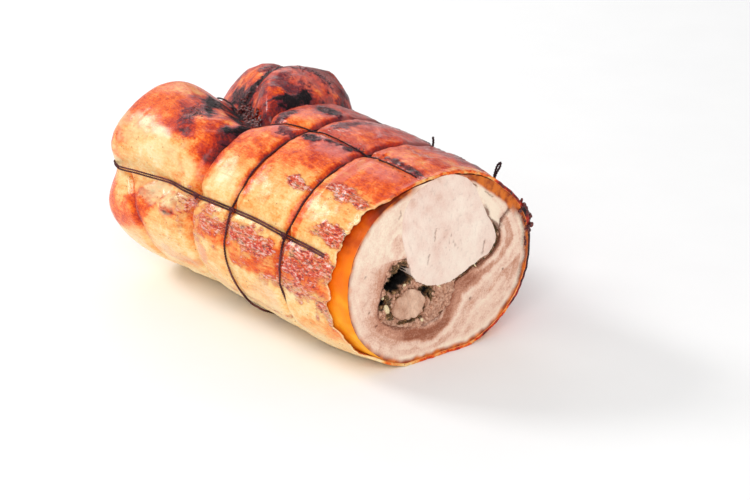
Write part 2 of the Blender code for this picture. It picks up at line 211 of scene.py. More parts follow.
def roast_form(travel, turn, sink=0):
    """Rind points for a way along the roast (0 at the cut) and a turn, `sink` mm under the surface.

    Along the side the way is the distance behind the cut; past WALL it runs over the rear end.
    """
    section = np.minimum(travel, WALL)
    over = np.clip((travel - WALL) / CAP_TRAVEL, 0, 1) * math.pi / 2
    scale = np.clip(np.cos(over), 0, 1) ** (2 / CAP_BLUNTNESS)
    c = np.cos(np.radians(turn))
    s = np.sin(np.radians(turn))
    lean = SLANT * c * ease(190, WALL, section)
    back = section + (CAP - sink) * np.sin(over) ** (2 / CAP_BLUNTNESS) - lean * scale
    width = np.where(c < 0, glide(back, STATIONS, NEAR_WIDTH), glide(back, STATIONS, FAR_WIDTH))
    axis = glide(back, STATIONS, HEIGHT) / 2
    power = np.where(s > 0, TOP_ROUNDNESS, glide(back, LOW_STATIONS, LOW_ROUNDNESS))
    radius = (np.abs(c / width) ** power + np.abs(s / axis) ** power) ** (-1 / power)
    for place, angle, reach, spread, height in SWELLINGS:
        swell = height * hump(back - place, reach) * hump(turn_off(turn, angle), spread)
        radius = radius + swell * (1 - hump(back - RINGS["rear"][0], 12))
    depth = draw_in(back, turn, radius) + sink
    y = (radius - depth) * c * scale
    z = np.maximum(axis + radius * s * scale - SETTLE, 0) - depth * s * scale
    z = np.maximum(z, sink)
    x = -back + DIMPLE * hump(scale, 0.35) * (travel > WALL)
    return np.stack([x, y, z], axis=-1), back


# %% [markdown]
# Every body here is a closed bag, so every body can start as a sphere: its rings are moved one by one to
# the places where the piece has its cross sections. The front rings become the cut face, the middle ones
# the side and the last ones the rear. A rind is the same bag pushed halfway into itself, like a cup.

# %% Bags made from a sphere
def read_points(piece):
    """All vertices of a piece as rows of x, y and z."""
    co = np.empty(len(piece.data.vertices) * 3)
    piece.data.vertices.foreach_get("co", co)
    return co.reshape(-1, 3)


def write_points(piece, points):
    piece.data.vertices.foreach_set("co", np.asarray(points, float).ravel())
    piece.data.update()


def only(piece):
    """Select this piece alone and make it active."""
    bpy.ops.object.select_all(action="DESELECT")
    piece.select_set(True)
    bpy.context.view_layer.objects.active = piece


def turn_outwards(piece):
    """Flip the faces if the bag came out inside out, and measure its volume in cubic metres."""
    bm = bmesh.new()
    bm.from_mesh(piece.data)
    volume = bm.calc_volume(signed=True)
    bm.free()
    if volume < 0:
        only(piece)
        bpy.ops.object.mode_set(mode="EDIT")
        bpy.ops.mesh.select_all(action="SELECT")
        bpy.ops.mesh.flip_normals()
        bpy.ops.object.mode_set(mode="OBJECT")
    return abs(volume)


def bag(name, sides, rings):
    """A sphere with the number of the ring and the turn of each of its vertices."""
    bpy.ops.object.select_all(action="DESELECT")
    bpy.ops.mesh.primitive_uv_sphere_add(segments=sides, ring_count=rings, radius=1)
    piece = bpy.context.object
    piece.name = name
    piece.data.name = name
    co = read_points(piece)
    tilt = np.arctan2(co[:, 2], np.hypot(co[:, 0], co[:, 1]))
    ring = np.rint((0.5 + tilt / math.pi) * rings).astype(int)
    turn = np.degrees(np.arctan2(co[:, 1], co[:, 0])) % 360
    return piece, ring, turn


def smooth(piece, angle):
    """Smooth shading, with hard edges past the angle."""
    only(piece)
    bpy.ops.object.shade_smooth_by_angle(angle=math.radians(angle))


def paint(piece, name, red, green, blue):
    """Store three masks of the surface as one colour attribute."""
    count = len(piece.data.vertices)
    colours = np.ones((count, 4), np.float32)
    for channel, mask in enumerate((red, green, blue)):
        colours[:, channel] = np.clip(mask, 0, 1)
    layer = piece.data.attributes.new(name, "FLOAT_COLOR", "POINT")
    layer.data.foreach_set("color", colours.ravel())


# %% [markdown]
# The cut face shows the roll's layout: the pale loin in the middle, the smaller tenderloin under it in a
# bed of herbs, and the belly wrapped round them. An outline is a centre and a radius at a few turns round
# it, joined by a smooth curve, with a little noise so that no cut edge is a machined curve. All of them
# narrow towards the tied end.

# %% Outlines of the meats (mm)
LOIN_CENTRE = (14, 104)
TENDERLOIN_CENTRE = (-27, 49)
CORE_CENTRE = (-20, 55)
CORE_TURNS = (-30, 0, 30, 60, 90, 115, 135, 160, 180, 200, 230, 270, 300, 330, 360)
CORE_RADII = (33, 38, 34, 24, 20, 38, 37, 34, 36, 34, 27, 24, 27, 33, 38)
LOIN_TURNS = (0, 18, 43, 60, 75, 90, 109, 127, 141, 153, 165, 180, 195,
              213, 235, 252, 270, 280, 290, 300, 310, 322, 330, 340, 350, 360)
LOIN_RADII = (35, 32, 33.5, 36.5, 39, 41, 43.5, 47, 50, 50.5, 49.5, 47.5, 46,
              47.5, 49.5, 47.5, 45, 42.5, 41.5, 42.5, 45, 48.5, 49, 46.5, 41, 35)
TENDER_TURNS = (0, 30, 60, 90, 120, 150, 180, 210, 240, 270, 300, 330, 360)
TENDER_RADII = (17, 14, 13, 13, 13, 15, 16, 14, 12, 10.5, 12, 15.5, 17)
LAYER_TURNS = (0, 250, 262, 275, 300, 318, 330, 342, 350, 356, 360)
LAYER_DEPTHS = (0, 0, 1.5, 3, 3, 3.4, 4.8, 5, 2.2, 0, 0)
REAR = {"loin": 284, "tenderloin": 270, "core": 276, "layer": 280}


def flat_noise(turn, seed, size, radius=30.0):
    """Noise along a circle, so that an outline meets itself again."""
    ring = np.stack([radius * np.cos(np.radians(turn)), radius * np.sin(np.radians(turn)), 0 * turn], -1)
    return rough(ring, size, seed)


def round_centre(centre, turn, radius):
    a = np.radians(turn)
    return centre[0] + radius * np.cos(a), centre[1] + radius * np.sin(a)


def loin_outline(turn, grow=0.0):
    crumbly = ease(195, 215, turn % 360) * ease(350, 330, turn % 360)
    r = glide(turn % 360, LOIN_TURNS, LOIN_RADII) + grow + (0.5 + 0.8 * crumbly) * flat_noise(turn, 11, 6)
    r = r + crumbly * flat_noise(turn, 12, 2.4, 45)
    return round_centre(LOIN_CENTRE, turn, r)


def tenderloin_outline(turn, grow=0.0):
    r = glide(turn % 360, TENDER_TURNS, TENDER_RADII) + grow + 1.8 * flat_noise(turn, 21, 4, 14)
    return round_centre(TENDERLOIN_CENTRE, turn, r)


def core_outline(turn, grow=0.0):
    """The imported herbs, with the tenderloin and the dark hollow in them."""
    r = glide(turn % 360, CORE_TURNS, CORE_RADII) + grow + 1.4 * flat_noise(turn, 31, 12)
    return round_centre(CORE_CENTRE, turn, r)


def layer_outline(turn, grow=0.0):
    """The thin herb layer under and beside the loin is a wider loin outline on that side only."""
    thickness = np.interp(turn % 360, LAYER_TURNS, LAYER_DEPTHS) * (1 + 0.3 * flat_noise(turn, 41, 12))
    return loin_outline(turn, grow + thickness)


def narrowed(back, y, z):
    """The layout of the cut carried back through the roast."""
    scale = 1 - 0.06 * ease(6, 45, back) - 0.32 * ease(30, 285, back)
    return y * scale, AXIS_HEIGHT + (z - AXIS_HEIGHT) * scale


SIDE_RINGS = 16
REAR_RINGS = 6


def shrunk(centre, y, z, share):
    """A place moved in towards a centre."""
    return centre[0] + (y - centre[0]) * share, centre[1] + (z - centre[1]) * share


def meat_bag(name, outline, centre, grow, front, rear, sides, face_rings):
    """A closed body from a cut face in front, along its outline, to a plain rear face."""
    rings = face_rings + SIDE_RINGS + REAR_RINGS
    piece, ring, turn = bag(name, sides, rings)
    inward = np.clip(ring / face_rings, 0, 1) * np.clip((rings - ring) / REAR_RINGS, 0, 1)
    y, z = shrunk(centre, *outline(turn, grow), inward)
    back = front + (rear - front) * ease(face_rings, face_rings + SIDE_RINGS, ring)
    y, z = narrowed(back, y, z)
    write_points(piece, to_world(np.stack([-back, y, z], -1)))
    turn_outwards(piece)
    return piece


face_width = np.ptp(loin_outline(np.arange(360))[0])
print(f"the loin is {face_width:.0f} mm across at the cut")

# %% [markdown]
# The herb filling is one mass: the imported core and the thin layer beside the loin, with room for the two
# meats that lie in it. Boolean modifiers make that as it would be done by hand: the layer is united with
# the core, a slightly larger copy of each meat is cut out, and the helpers are deleted again.

# %% Herb filling with room for the meats
def boolean(piece, operation, tools):
    for tool in tools:
        only(piece)
        modifier = piece.modifiers.new("pocket", "BOOLEAN")
        modifier.operation = operation
        modifier.solver = "EXACT"
        modifier.object = tool
        bpy.ops.object.modifier_apply(modifier=modifier.name)
        print(f"{piece.name}: {operation.lower()} with {tool.name}, {len(piece.data.polygons)} faces")


def remove(tools):
    for tool in tools:
        bpy.data.objects.remove(tool, do_unlink=True)


GAP = 0.35                         # mm between a meat and the filling round it
filling = meat_bag("filling", core_outline, CORE_CENTRE, 0.1, 0, REAR["core"], 150, 24)
layer = meat_bag("layer", layer_outline, LOIN_CENTRE, 0, 0, REAR["layer"], 180, 4)
loin_room = meat_bag("loin_room", loin_outline, LOIN_CENTRE, GAP, -6, REAR["loin"] + 1, 120, 2)
tender_room = meat_bag("tender_room", tenderloin_outline, TENDERLOIN_CENTRE, GAP, -3,
                       REAR["tenderloin"] + 1, 64, 2)
boolean(filling, "UNION", [layer])
boolean(filling, "DIFFERENCE", [loin_room, tender_room])
remove([layer, loin_room, tender_room])

# %% [markdown]
# The belly meat is the roast's own form, one rind thickness smaller, pushed in from the front like a cup
# to make room for the rest. Its rings run from the bottom of that pocket along its wall to the cut face,
# across the face, round the corner and back along the outside, first over the band of glazed fat that
# shows where the rind has shrunk back.

# %% The pocket's outline
POCKET_CENTRE = (-3, 82)
OUTLINE_STEP = 0.75


def farthest(turn, outline):
    """The farthest crossing of an outline, seen from the pocket's centre in each direction."""
    y, z = outline(np.arange(0, 360, OUTLINE_STEP))
    a = np.stack([y - POCKET_CENTRE[0], z - POCKET_CENTRE[1]], -1)[None]
    step = np.roll(a, -1, axis=1) - a
    angle = np.radians(np.asarray(turn, float))[:, None]
    c = np.cos(angle)
    s = np.sin(angle)
    across = c * step[..., 1] - s * step[..., 0]
    far = (a[..., 0] * step[..., 1] - a[..., 1] * step[..., 0]) / across
    share = (a[..., 0] * s - a[..., 1] * c) / across
    return np.where((share >= 0) & (share < 1) & (far > 0), far, 0).max(axis=1)


def pocket_outline(turn, grow):
    """The outline round the herb layer and the core together."""
    around = np.arange(0, 360)
    radius = np.maximum(farthest(around, layer_outline), farthest(around, core_outline))
    radius = np.mean([np.roll(radius, step) for step in (-1, 0, 1)], axis=0)
    r = np.interp(turn % 360, np.append(around, 360), np.append(radius, radius[0])) + grow
    return round_centre(POCKET_CENTRE, turn, r)


# %% Belly meat
BELLY_SIDES = 360
FACE_RINGS = 64
CLOSING_RINGS = 3                  # they close the bottom of the pocket
BAND = 34                          # mm of glazed fat behind the cut; further back the rind hides all
RIND_GAP = 0.1
POCKET_GAP = 0.15
HIDDEN_SINK = 18.6                 # under the rind the belly shrinks to this depth, where nobody sees it


def belly_levels():
    """For each ring: its depth in the pocket, its share of the way over the face, its way outside."""
    pocket = [REAR["loin"] + 2] * CLOSING_RINGS + list(np.geomspace(REAR["loin"], 1.2, 16)) + [0.4]
    levels = [(depth, 0.0, 0.0) for depth in pocket]
    levels += [(0.0, share, 0.0) for share in np.linspace(0, 1, FACE_RINGS)]
    outside = [0.4] + list(np.linspace(1.4, BAND, 24)) + list(np.linspace(BAND + 4, FORM_END, 26))
    levels += [(0.0, 1.0, travel) for travel in outside]
    return np.array(levels)


levels = belly_levels()
belly, ring, turn = bag("belly_meat", BELLY_SIDES, len(levels) - 1)
depth, share, travel = levels[ring].T
skin, _ = roast_form(travel, turn, RIND + RIND_GAP)
deeper, _ = roast_form(travel, turn, HIDDEN_SINK)
skin = skin + (deeper - skin) * ease(BAND + 1, BAND + 18, travel)[:, None]
closing = np.clip(ring / CLOSING_RINGS, 0, 1)
y, z = narrowed(depth, *shrunk(POCKET_CENTRE, *pocket_outline(turn, POCKET_GAP), closing))
inner = np.stack([-depth, y, z], -1)
points = inner + (skin - inner) * share[:, None]
wall = np.linalg.norm(skin - inner, axis=1)
from_rind = (1 - share) * wall
from_pocket = share * wall
write_points(belly, to_world(points))
print(f"belly meat: {turn_outwards(belly) * 1000:.2f} litres")

# %% [markdown]
# The cut belly is layered: fat just under the rind, then thin sheets of lean with fat between them. The
# layers follow the roll, so their place is read from the distance to the pocket, and noise bends them.
# The far side carries strong lean stripes, the flap above it a round muscle, the underside one brown
# band and the near side mostly fat. Each zone is a table of lean over distance.

# %% Fat and lean in the cut belly
RIGHT_LEAN = ((0, 3, 5, 7, 9, 14, 16, 19, 22, 26, 28, 60),
              (.7, .6, .3, .2, .5, .6, .3, .2, .4, .25, .55, .5))
FLAP_LEAN = ((0, 2, 14, 18, 22, 29, 33, 38, 44, 60), (.75, .9, .75, .15, .45, .5, .2, .4, .3, .5))
LOW_LEAN = ((0, 2, 4, 12, 15, 18, 20, 24, 26, 60), (.55, .65, 1, .95, .4, .2, .45, .55, .35, .5))
LEFT_LEAN = ((0, 5, 12, 18, 26, 60), (.65, .7, .55, .4, .25, .15))
MUSCLE_CENTRE = (-38, 100)
MUSCLE_RADIUS = 9

# start and end of a short line in the cut (mm), its width and its strength
FAT_CAP = (((42, 126), (58, 106), 8, 1), ((50, 112), (57, 94), 6, 1))
# The cracks and the long gap lines are sunk and painted dark: brown fibres in them, and painted shade.
SHADED_CRACKS = (((33, 134), (39, 130), 0.7, 0.7), ((47, 124), (55, 118), 0.6, 0.5),
          ((-31, 103), (-30, 95), 0.6, 0.7), ((61.5, 86), (64, 97), 1.6, 1), ((64, 97), (72, 105), 1.6, 1))
SPECKS = (((-65, 53), (-65, 53.5), 0.7, 1), ((66, 56), (67, 56), 0.7, 1), ((-59, 40), (-58, 41), 0.6, 1),
          ((33, 39), (34, 40), 0.7, 1), ((-69, 82), (-68, 83), 0.7, 0.6),
          ((-37, 121), (-35, 127), 0.7, 0.5))


# %% Short lines in the cut
def cut_lines(rows, y, z):
    """A mask for each short line in the cut face, fading at its sides."""
    masks = []
    for start, end, width, strength in rows:
        start = np.array(start, float)
        step = np.array(end, float) - start
        share_along = np.clip(((y - start[0]) * step[0] + (z - start[1]) * step[1]) / (step @ step), 0, 1)
        gap = np.hypot(y - start[0] - step[0] * share_along, z - start[1] - step[1] * share_along)
        masks.append(strength * hump(gap, width))
    return masks


def wavy(points, y, broad_seed, fine_seed):
    """A place across the cut, bent by noise so that lines drawn with it waver."""
    return y + 1.1 * rough(points, 4, broad_seed) + 0.4 * lumps(points, 1.5, fine_seed)


# %% How lean, stained, shaded and golden the belly is
def belly_lean(points, turn, left, right, flap, low):
    """How lean the belly is, from 0 for fat to 1, by its zones and the layers in them."""
    y, z = points[:, 1], points[:, 2]
    bent = from_pocket + 3 * rough(points, 24, 51) + 1.2 * lumps(points, 5, 52)
    lean = right * np.interp(bent, *RIGHT_LEAN) + flap * np.interp(bent, *FLAP_LEAN)
    lean = lean + low * np.interp(bent, *LOW_LEAN)
    lean = lean + left * np.interp(bent, *LEFT_LEAN) * (1 - 0.75 * ease(178, 152, turn))
    lean = lean - 0.3 * hump(from_rind - 4, 3) * (1 - left)
    off_muscle = np.hypot(y - MUSCLE_CENTRE[0], z - MUSCLE_CENTRE[1]) + 2.2 * rough(points, 9, 58)
    lean = lean + (0.36 - lean) * ease(MUSCLE_RADIUS + 2, MUSCLE_RADIUS - 4, off_muscle)
    lean = lean - 0.12 * hump(off_muscle - MUSCLE_RADIUS - 1, 1.8)
    return lean * (1 - np.maximum(*cut_lines(FAT_CAP, y, z)))


def belly_stains_and_shade(points, turn, off, right, shaded_cracks):
    """Brown juices round the pocket, dark specks, cracks and gaps darkened by fibres and painted shade, and
    char under the rind.
    """
    y, z = points[:, 1], points[:, 2]
    juices = ease(3.5, 0.5, from_pocket - 1.5 * lumps(points, 6, 53))
    juices = juices * (1 - ease(26, 36, turn) * ease(176, 165, turn))
    juices = juices * np.clip(0.35 + 0.4 * hump(turn_off(turn, 215), 60) + 0.6 * right, 0, 1)
    specks = sum(cut_lines(SPECKS, wavy(points, y, 47, 46), z))
    charring = ease(8, 0, from_rind + 1.5 * lumps(points, 4, 48)) * ease(-40, 0, off) * ease(60, 34, off)
    return np.clip(juices + shaded_cracks + specks + charring, 0, 1)


def belly_gold_and_lip_shade(points, turn, left, shaded_notch):
    """Golden fat where the heat reached it, close to the rind, and painted shade in golden brown under the
    rind's lip.
    """
    golden_and_lip_shade = ease(5, 0.5, from_rind + 1.5 * lumps(points, 5, 54)) * np.clip(1 - left, 0, 1)
    golden_and_lip_shade = golden_and_lip_shade + ease(6, 0, from_rind + lumps(points, 5, 54)) * left * ease(100, 120, turn)
    crust = ease(12, 8, from_rind + 1.5 * lumps(points, 6, 49)) * ease(10, 26, turn) * ease(84, 58, turn)
    return np.clip(golden_and_lip_shade + 1.2 * shaded_notch + crust, 0, 1)


GRAIN_SPAN = 400                   # mm that fit between 0 and 1 of the painted place


def lay_grain(piece, across, points):
    """A place across the grain, for fine lines that follow the layers."""
    bent = across + 3 * lumps(points, 25, 59) + 100
    y, z = points[:, 1] + 200, points[:, 2] + 200
    paint(piece, "grain", bent / GRAIN_SPAN, y / GRAIN_SPAN, z / GRAIN_SPAN)


# %% The belly's zones
off = turn_off(turn, 0)
right = ease(-32, -14, off) * ease(85, 50, off)
flap = ease(-80, -62, off) * ease(-14, -32, off)
low = ease(-132, -112, off) * ease(-62, -80, off)
left = 1 - right - flap - low
# The notch under the rind's lip is sunk and painted golden brown as shade under the lip.
shaded_notch = hump(turn_off(turn, 118), 9) * ease(7, 2, from_rind)
shaded_cracks = sum(cut_lines(SHADED_CRACKS, wavy(points, points[:, 1], 47, 46), points[:, 2]))
lean = belly_lean(points, turn, left, right, flap, low)
dark = belly_stains_and_shade(points, turn, off, right, shaded_cracks)
golden_and_lip_shade = belly_gold_and_lip_shade(points, turn, left, shaded_notch)
print(f"the cut belly is {100 * lean[share > 0].mean():.0f} percent lean")

# %% Painting and opening the cut belly
on_face = (depth < 0.05) & (travel < 0.05)
on_side = travel > 0.3
# Painted shade: the pocket wall is painted dark, except high up, so that the gaps round the filling look
# shaded.
low_wall = 1 - ease(40, 55, turn) * ease(172, 155, turn)
stains_and_gap_shade = np.where(depth > 0.3, 0.25 + 0.75 * low_wall, dark * on_face)
paint(belly, "cut", lean, stains_and_gap_shade, golden_and_lip_shade * on_face)
lay_grain(belly, from_rind, points)
# The glazed band gets darker towards the top: caramel glaze, and painted shadow under the rind's lip.
tone = ease(112, 215, turn) + 0.22 * rough(points, 16, 55)
paint(belly, "band", tone, on_side, 0 * tone)

sunk = 0.5 * rough(points, 9, 57) + 0.35 * lean + 1.3 * shaded_cracks + 3 * shaded_notch + 0.2
points[:, 0] -= np.where(on_face, np.clip(sunk, -0.3, 6), 0)
rounding = on_face * ease(0.94, 1.0, share) + (travel > 0.05) * ease(3.0, 0.2, travel)
rounding = rounding * ease(112, 124, turn) * ease(232, 220, turn)
points[:, 1:] += (np.array([0, AXIS_HEIGHT]) - points[:, 1:]) * (0.015 * rounding)[:, None]
write_points(belly, to_world(points))
smooth(belly, 60)
print("belly layers painted:", len(belly.data.polygons), "faces")

# %% [markdown]
# The loin and the tenderloin are plain muscles. The loin's cut face is almost flat, with a few short slits
# where the fibres opened as the roast was carved; the tenderloin's sinks in a little and is coarser.

# %% Loin and tenderloin
IN_CUT = -0.05                     # points of a meat further forward than this lie in the cut (mm)
LOIN_SLITS = (((-1, 105), (-2, 96), 0.6, 1), ((-7, 86), (-9, 79), 0.5, 1), ((47.5, 84), (45.5, 74), 0.6, 1))
LOIN_PORES = (14, 91, 8, 13)       # centre and half widths of the oval where the meat is full of pores
NEAR_EDGE_TURN = 165


def against_outline(outline, centre, y, z):
    """The turn round a centre, the distance from it, and how far away the outline is there."""
    angle = np.degrees(np.arctan2(z - centre[1], y - centre[0])) % 360
    edge_y, edge_z = outline(angle)
    reach = np.hypot(edge_y - centre[0], edge_z - centre[1])
    return angle, np.hypot(y - centre[0], z - centre[1]), reach


def open_pores(points, seed):
    pore_y, pore_z, half_width, half_height = LOIN_PORES
    away = np.hypot((points[:, 1] - pore_y) / half_width, (points[:, 2] - pore_z) / half_height)
    porous = 0.25 + 0.75 * ease(1.2, 0.5, away)
    return np.clip(lumps(points * (1, 1, 0.6), 1.7, seed) - 0.5, 0, 1) * 2.2 * porous


def finish_meat(piece, outline, centre, slits, doming, lumpy, seed):
    """Press the relief of a carved muscle into its face, and paint how lean it is and painted shade in its
    slits and pores.
    """
    points = to_roast(read_points(piece))
    face = points[:, 0] > IN_CUT
    y, z = points[:, 1], points[:, 2]
    opened = sum(cut_lines(slits, wavy(points, y, seed + 5, seed + 6), z)) + 0 * y
    pores = open_pores(points, seed)
    angle, from_centre, reach = against_outline(outline, centre, y, z)
    near_edge = hump(turn_off(angle, NEAR_EDGE_TURN), 60)
    relief = doming + 0.4 * rough(points, 11, seed + 1) + lumpy * rough(points, 5, seed + 3)
    relief = relief - 1.2 * np.clip(opened, 0, 1) - 0.5 * pores
    relief = relief - (0.2 + 0.4 * near_edge) * ease(0.9, 1, from_centre / reach)
    points[:, 0] += np.where(face, relief, 0)
    lean = 0.35 + 0.45 * rough(points, 16, seed + 2) + 0.25 * ease(0.75, 1, from_centre / reach) * near_edge
    # Painted shade: the sunk slits and pores are also painted darker.
    paint(piece, "cut", lean, np.clip(0.5 * opened + 0.5 * pores, 0, 1) * face, 0 * y)
    lay_grain(piece, y + 0.4 * z, points)
    write_points(piece, to_world(points))
    smooth(piece, 60)
    print(f"{piece.name}: {len(piece.data.polygons)} faces")


loin = meat_bag("loin_meat", loin_outline, LOIN_CENTRE, 0.2, 0, REAR["loin"], 260, 60)
finish_meat(loin, loin_outline, LOIN_CENTRE, LOIN_SLITS, 0.0, 0.1, 61)
tenderloin = meat_bag("tenderloin_meat", tenderloin_outline, TENDERLOIN_CENTRE, 0, 0,
                      REAR["tenderloin"], 110, 22)
finish_meat(tenderloin, tenderloin_outline, TENDERLOIN_CENTRE, (), -1.2, 1.0, 71)

# %% [markdown]
# The herb filling is cut with the rest, but herbs crumble: its face lies a few millimetres back, it is
# rough, and beside the loin a deep hollow goes in, painted dark as shade. Its mesh came out of the
# Booleans with large faces in front, so those faces are subdivided before the relief is pressed in.

# %% Face of the herb filling
# centre of an oval place in the cut, its half width and half height, and its depth (mm) or share of herbs
HOLLOW = ((-37, 70, 11, 6.5, 30), (-30, 76, 6, 5, 24), (-51, 56, 5, 3, 12), (-10, 56, 6, 3, 6),
          (-5, 48, 2.5, 5, 6), (26, 63.5, 8, 2, 4))
HERB_PLACES = ((-50, 56, 9, 7, 1), (-10, 56, 8, 6, 1), (25, 62, 9, 4, 1), (-36, 72, 16, 11, 0.9),
               (-25, 37, 16, 2.5, 0.9), (45, 67, 16, 3, 0.9), (59, 90, 5, 16, 0.7), (-3, 50, 4, 6, 0.7),
               (-34, 84, 10, 4, 0.5), (-43, 44, 6, 5, 0.6), (12, 35, 10, 2, 0.8), (56, 76, 5, 6, 0.7))
TENDERLOIN_OVAL = (15, 12)
DEEPEST_CRUMBLE = 8
# The hollows are painted dark as shade, measured in shares of this depth.
DARK_DEPTH = 8                     # a hollow this deep is quite dark


def spots_on_cut(rows, y, z, uneven):
    """The strongest of the oval places at each point of the cut."""
    total = 0 * y
    for spot_y, spot_z, half_width, half_height, strength in rows:
        away = np.hypot((y - spot_y) / half_width, (z - spot_z) / half_height) + uneven
        total = np.maximum(total, strength * ease(1.15, 0.6, away))
    return total


def subdivide_face(piece):
    """Finer faces in the cut, and only there."""
    only(piece)
    front = to_roast(read_points(piece))[:, 0] > IN_CUT
    bpy.ops.object.mode_set(mode="EDIT")
    bpy.ops.mesh.select_mode(type="FACE")
    bpy.ops.mesh.select_all(action="DESELECT")
    bpy.ops.object.mode_set(mode="OBJECT")
    for face in piece.data.polygons:
        face.select = all(front[v] for v in face.vertices)
    bpy.ops.object.mode_set(mode="EDIT")
    bpy.ops.mesh.subdivide(number_cuts=1)
    bpy.ops.mesh.quads_convert_to_tris()
    bpy.ops.object.mode_set(mode="OBJECT")


def herb_share_at(points, uneven):
    """The share of herbs in the filling's face, and the strip of crumbled meat beside the loin."""
    y, z = points[:, 1], points[:, 2]
    share = spots_on_cut(HERB_PLACES, y, z, uneven)
    across, up = TENDERLOIN_OVAL
    from_tender = np.hypot((y - TENDERLOIN_CENTRE[0]) / across, (z - TENDERLOIN_CENTRE[1]) / up) - 1
    share = np.maximum(share, hump(13 * from_tender - 1, 2.2) * (0.6 + 0.6 * lumps(points, 6, 87)))
    angle, from_centre, reach = against_outline(loin_outline, LOIN_CENTRE, y, z)
    angle = turn_off(angle, 0)
    strip = ease(8, 6, from_centre - reach) * ease(-88, -76, angle) * ease(40, 10, angle)
    share = np.maximum(share * (1 - 0.5 * strip), strip * (0.45 + 0.4 * lumps(points, 5, 88)))
    return share, strip


def press_filling(piece):
    """Crumble the face of the filling, sink its hollows, paint shade into them and paint where the herbs
    are.
    """
    subdivide_face(piece)
    points = to_roast(read_points(piece))
    face = points[:, 0] > IN_CUT
    y, z = points[:, 1], points[:, 2]
    uneven = 0.25 * lumps(points, 5, 81) + 0.15 * lumps(points, 2, 86)
    hole = spots_on_cut(HOLLOW, y, z, uneven)
    herb_share, strip = herb_share_at(points, uneven)
    _, from_centre, reach = against_outline(core_outline, CORE_CENTRE, y, z)
    relief = 1.3 + 1.6 * rough(points, 9, 82) + 0.7 * lumps(points, 3, 83)
    relief = relief + 2.4 * herb_share * (1 - 0.7 * strip)
    relief = relief * (0.35 + 0.65 * ease(0, 4, np.abs(reach - from_centre)))
    points[:, 0] -= np.where(face, np.clip(relief, 0.1, DEEPEST_CRUMBLE) + hole, 0)
    paint(piece, "herb", herb_share, hole / DARK_DEPTH, 0 * y)
    write_points(piece, to_world(points))
    smooth(piece, 60)
    print(f"{piece.name}: {len(piece.data.polygons)} faces, hollow {hole.max():.0f} mm deep")


press_filling(filling)

# %% [markdown]
# The rind is one crisp shell round the belly, pulled in under the twine. It is a bag pushed into itself:
# rings run from the rear end over the outside to the cut, round the torn edge and back along the inside.
# On the near side it has shrunk back from the cut, with a ragged edge that is thinner and curls a little.

# %% Rind shell
RIND_SIDES = 400
TEAR_STATIONS = (0, 114, 128, 140, 150, 160, 170, 180, 190, 202, 212, 222, 230, 360)
TEAR_DEPTHS = (0, 0, 4, 7, 9, 11, 14, 15, 15, 14, 9, 4, 0, 0)
FARTHEST_OUT = 0.9                 # mm that the rind may stand in front of the cut


def torn_edge(turn):
    """How far behind the cut the rind ends."""
    depths = [np.interp(turn + step, TEAR_STATIONS, TEAR_DEPTHS, period=360) for step in range(-5, 6)]
    depth = np.mean(depths, axis=0)
    ragged = 2.6 * flat_noise(turn, 101, 14, 90) + 2.6 * flat_noise(turn, 105, 5, 90)
    fine = 0.9 * flat_noise(turn, 109, 5, 90)
    return np.maximum(depth + ragged * ease(0, 8, depth) + fine, -FARTHEST_OUT)


def rind_levels():
    """For each ring: its way from the cut and how deep it lies under the outside."""
    wall = np.arange(WALL, 0, -1.6)
    cap = WALL + CAP_TRAVEL * np.linspace(1, 0.02, 44)
    outside = [(way, 0.0) for way in (*cap, *wall, 0.4, 0)]
    rim = [(-0.3, 0.3), (-0.45, 1.2), (-0.3, 2.1)]
    thin = [(way, RIND) for way in (0.3, 1.5, 4, 8, 14, 20, 28)]
    hidden = (36, 44, 52, *range(60, WALL, 18), 280, 320, FORM_END)
    thick = [(way, RIND + 14 * ease(30, 60, way)) for way in hidden]
    return np.array(outside + rim + thin + thick)


levels = rind_levels()
rind, ring, turn = bag("rind", RIND_SIDES, len(levels) - 1)
way, sink = levels[ring].T
edge = torn_edge(turn)
travel = np.maximum(way, 0) + edge * ease(64, 0, way)
lip = np.maximum(ease(1, 8, edge), 0.8 * ease(40, 60, turn) * ease(130, 118, turn))
curl = hump(travel - edge, 3.5) * lip * (1.1 + 0.9 * flat_noise(turn, 113, 6, 90))
skin, back = roast_form(travel, turn)
under, _ = roast_form(travel, turn, RIND)
outwards = (skin - under) / np.linalg.norm(skin - under, axis=1)[:, None]
thinned = 1 - 0.6 * ease(2, 8, edge) * ease(9, 0, travel - edge)
skin = skin + (under - skin) * (np.minimum(sink, RIND) / RIND * thinned)[:, None]
skin = skin - outwards * np.maximum(sink - RIND, 0)[:, None]
skin[:, 0] -= np.minimum(way, 0)
outside = np.clip(1 - sink / (RIND / 2), 0, 1)
write_points(rind, to_world(skin))
print(f"rind: {turn_outwards(rind) * 1000:.2f} litres, {len(rind.data.polygons)} faces")

# %% [markdown]
# The heat left a pattern on the rind: pale gold low on the near side, orange higher up, plum and black on
# top and in the folds. Patches of browning, char and blisters are laid out like strokes of a brush, each
# an oval at a distance behind the cut and a turn round the roast, with an outline frayed by noise. Some
# patches are painted light: darker bands by the ties and in the valleys are painted shade, and a few pale
# or pink patches are painted highlights and sheen.

# %% Tables of browning, char and blisters
TONE_TURNS = (0, 30, 55, 75, 90, 108, 125, 140, 155, 180, 215, 250, 300, 330, 360)
TONES = (0.68, 0.72, 0.72, 0.62, 0.52, 0.48, 0.39, 0.27, 0.22, 0.2, 0.1, 0.11, 0.25, 0.5, 0.68)
SCORCHED = 0.86                    # tone of the halo round char
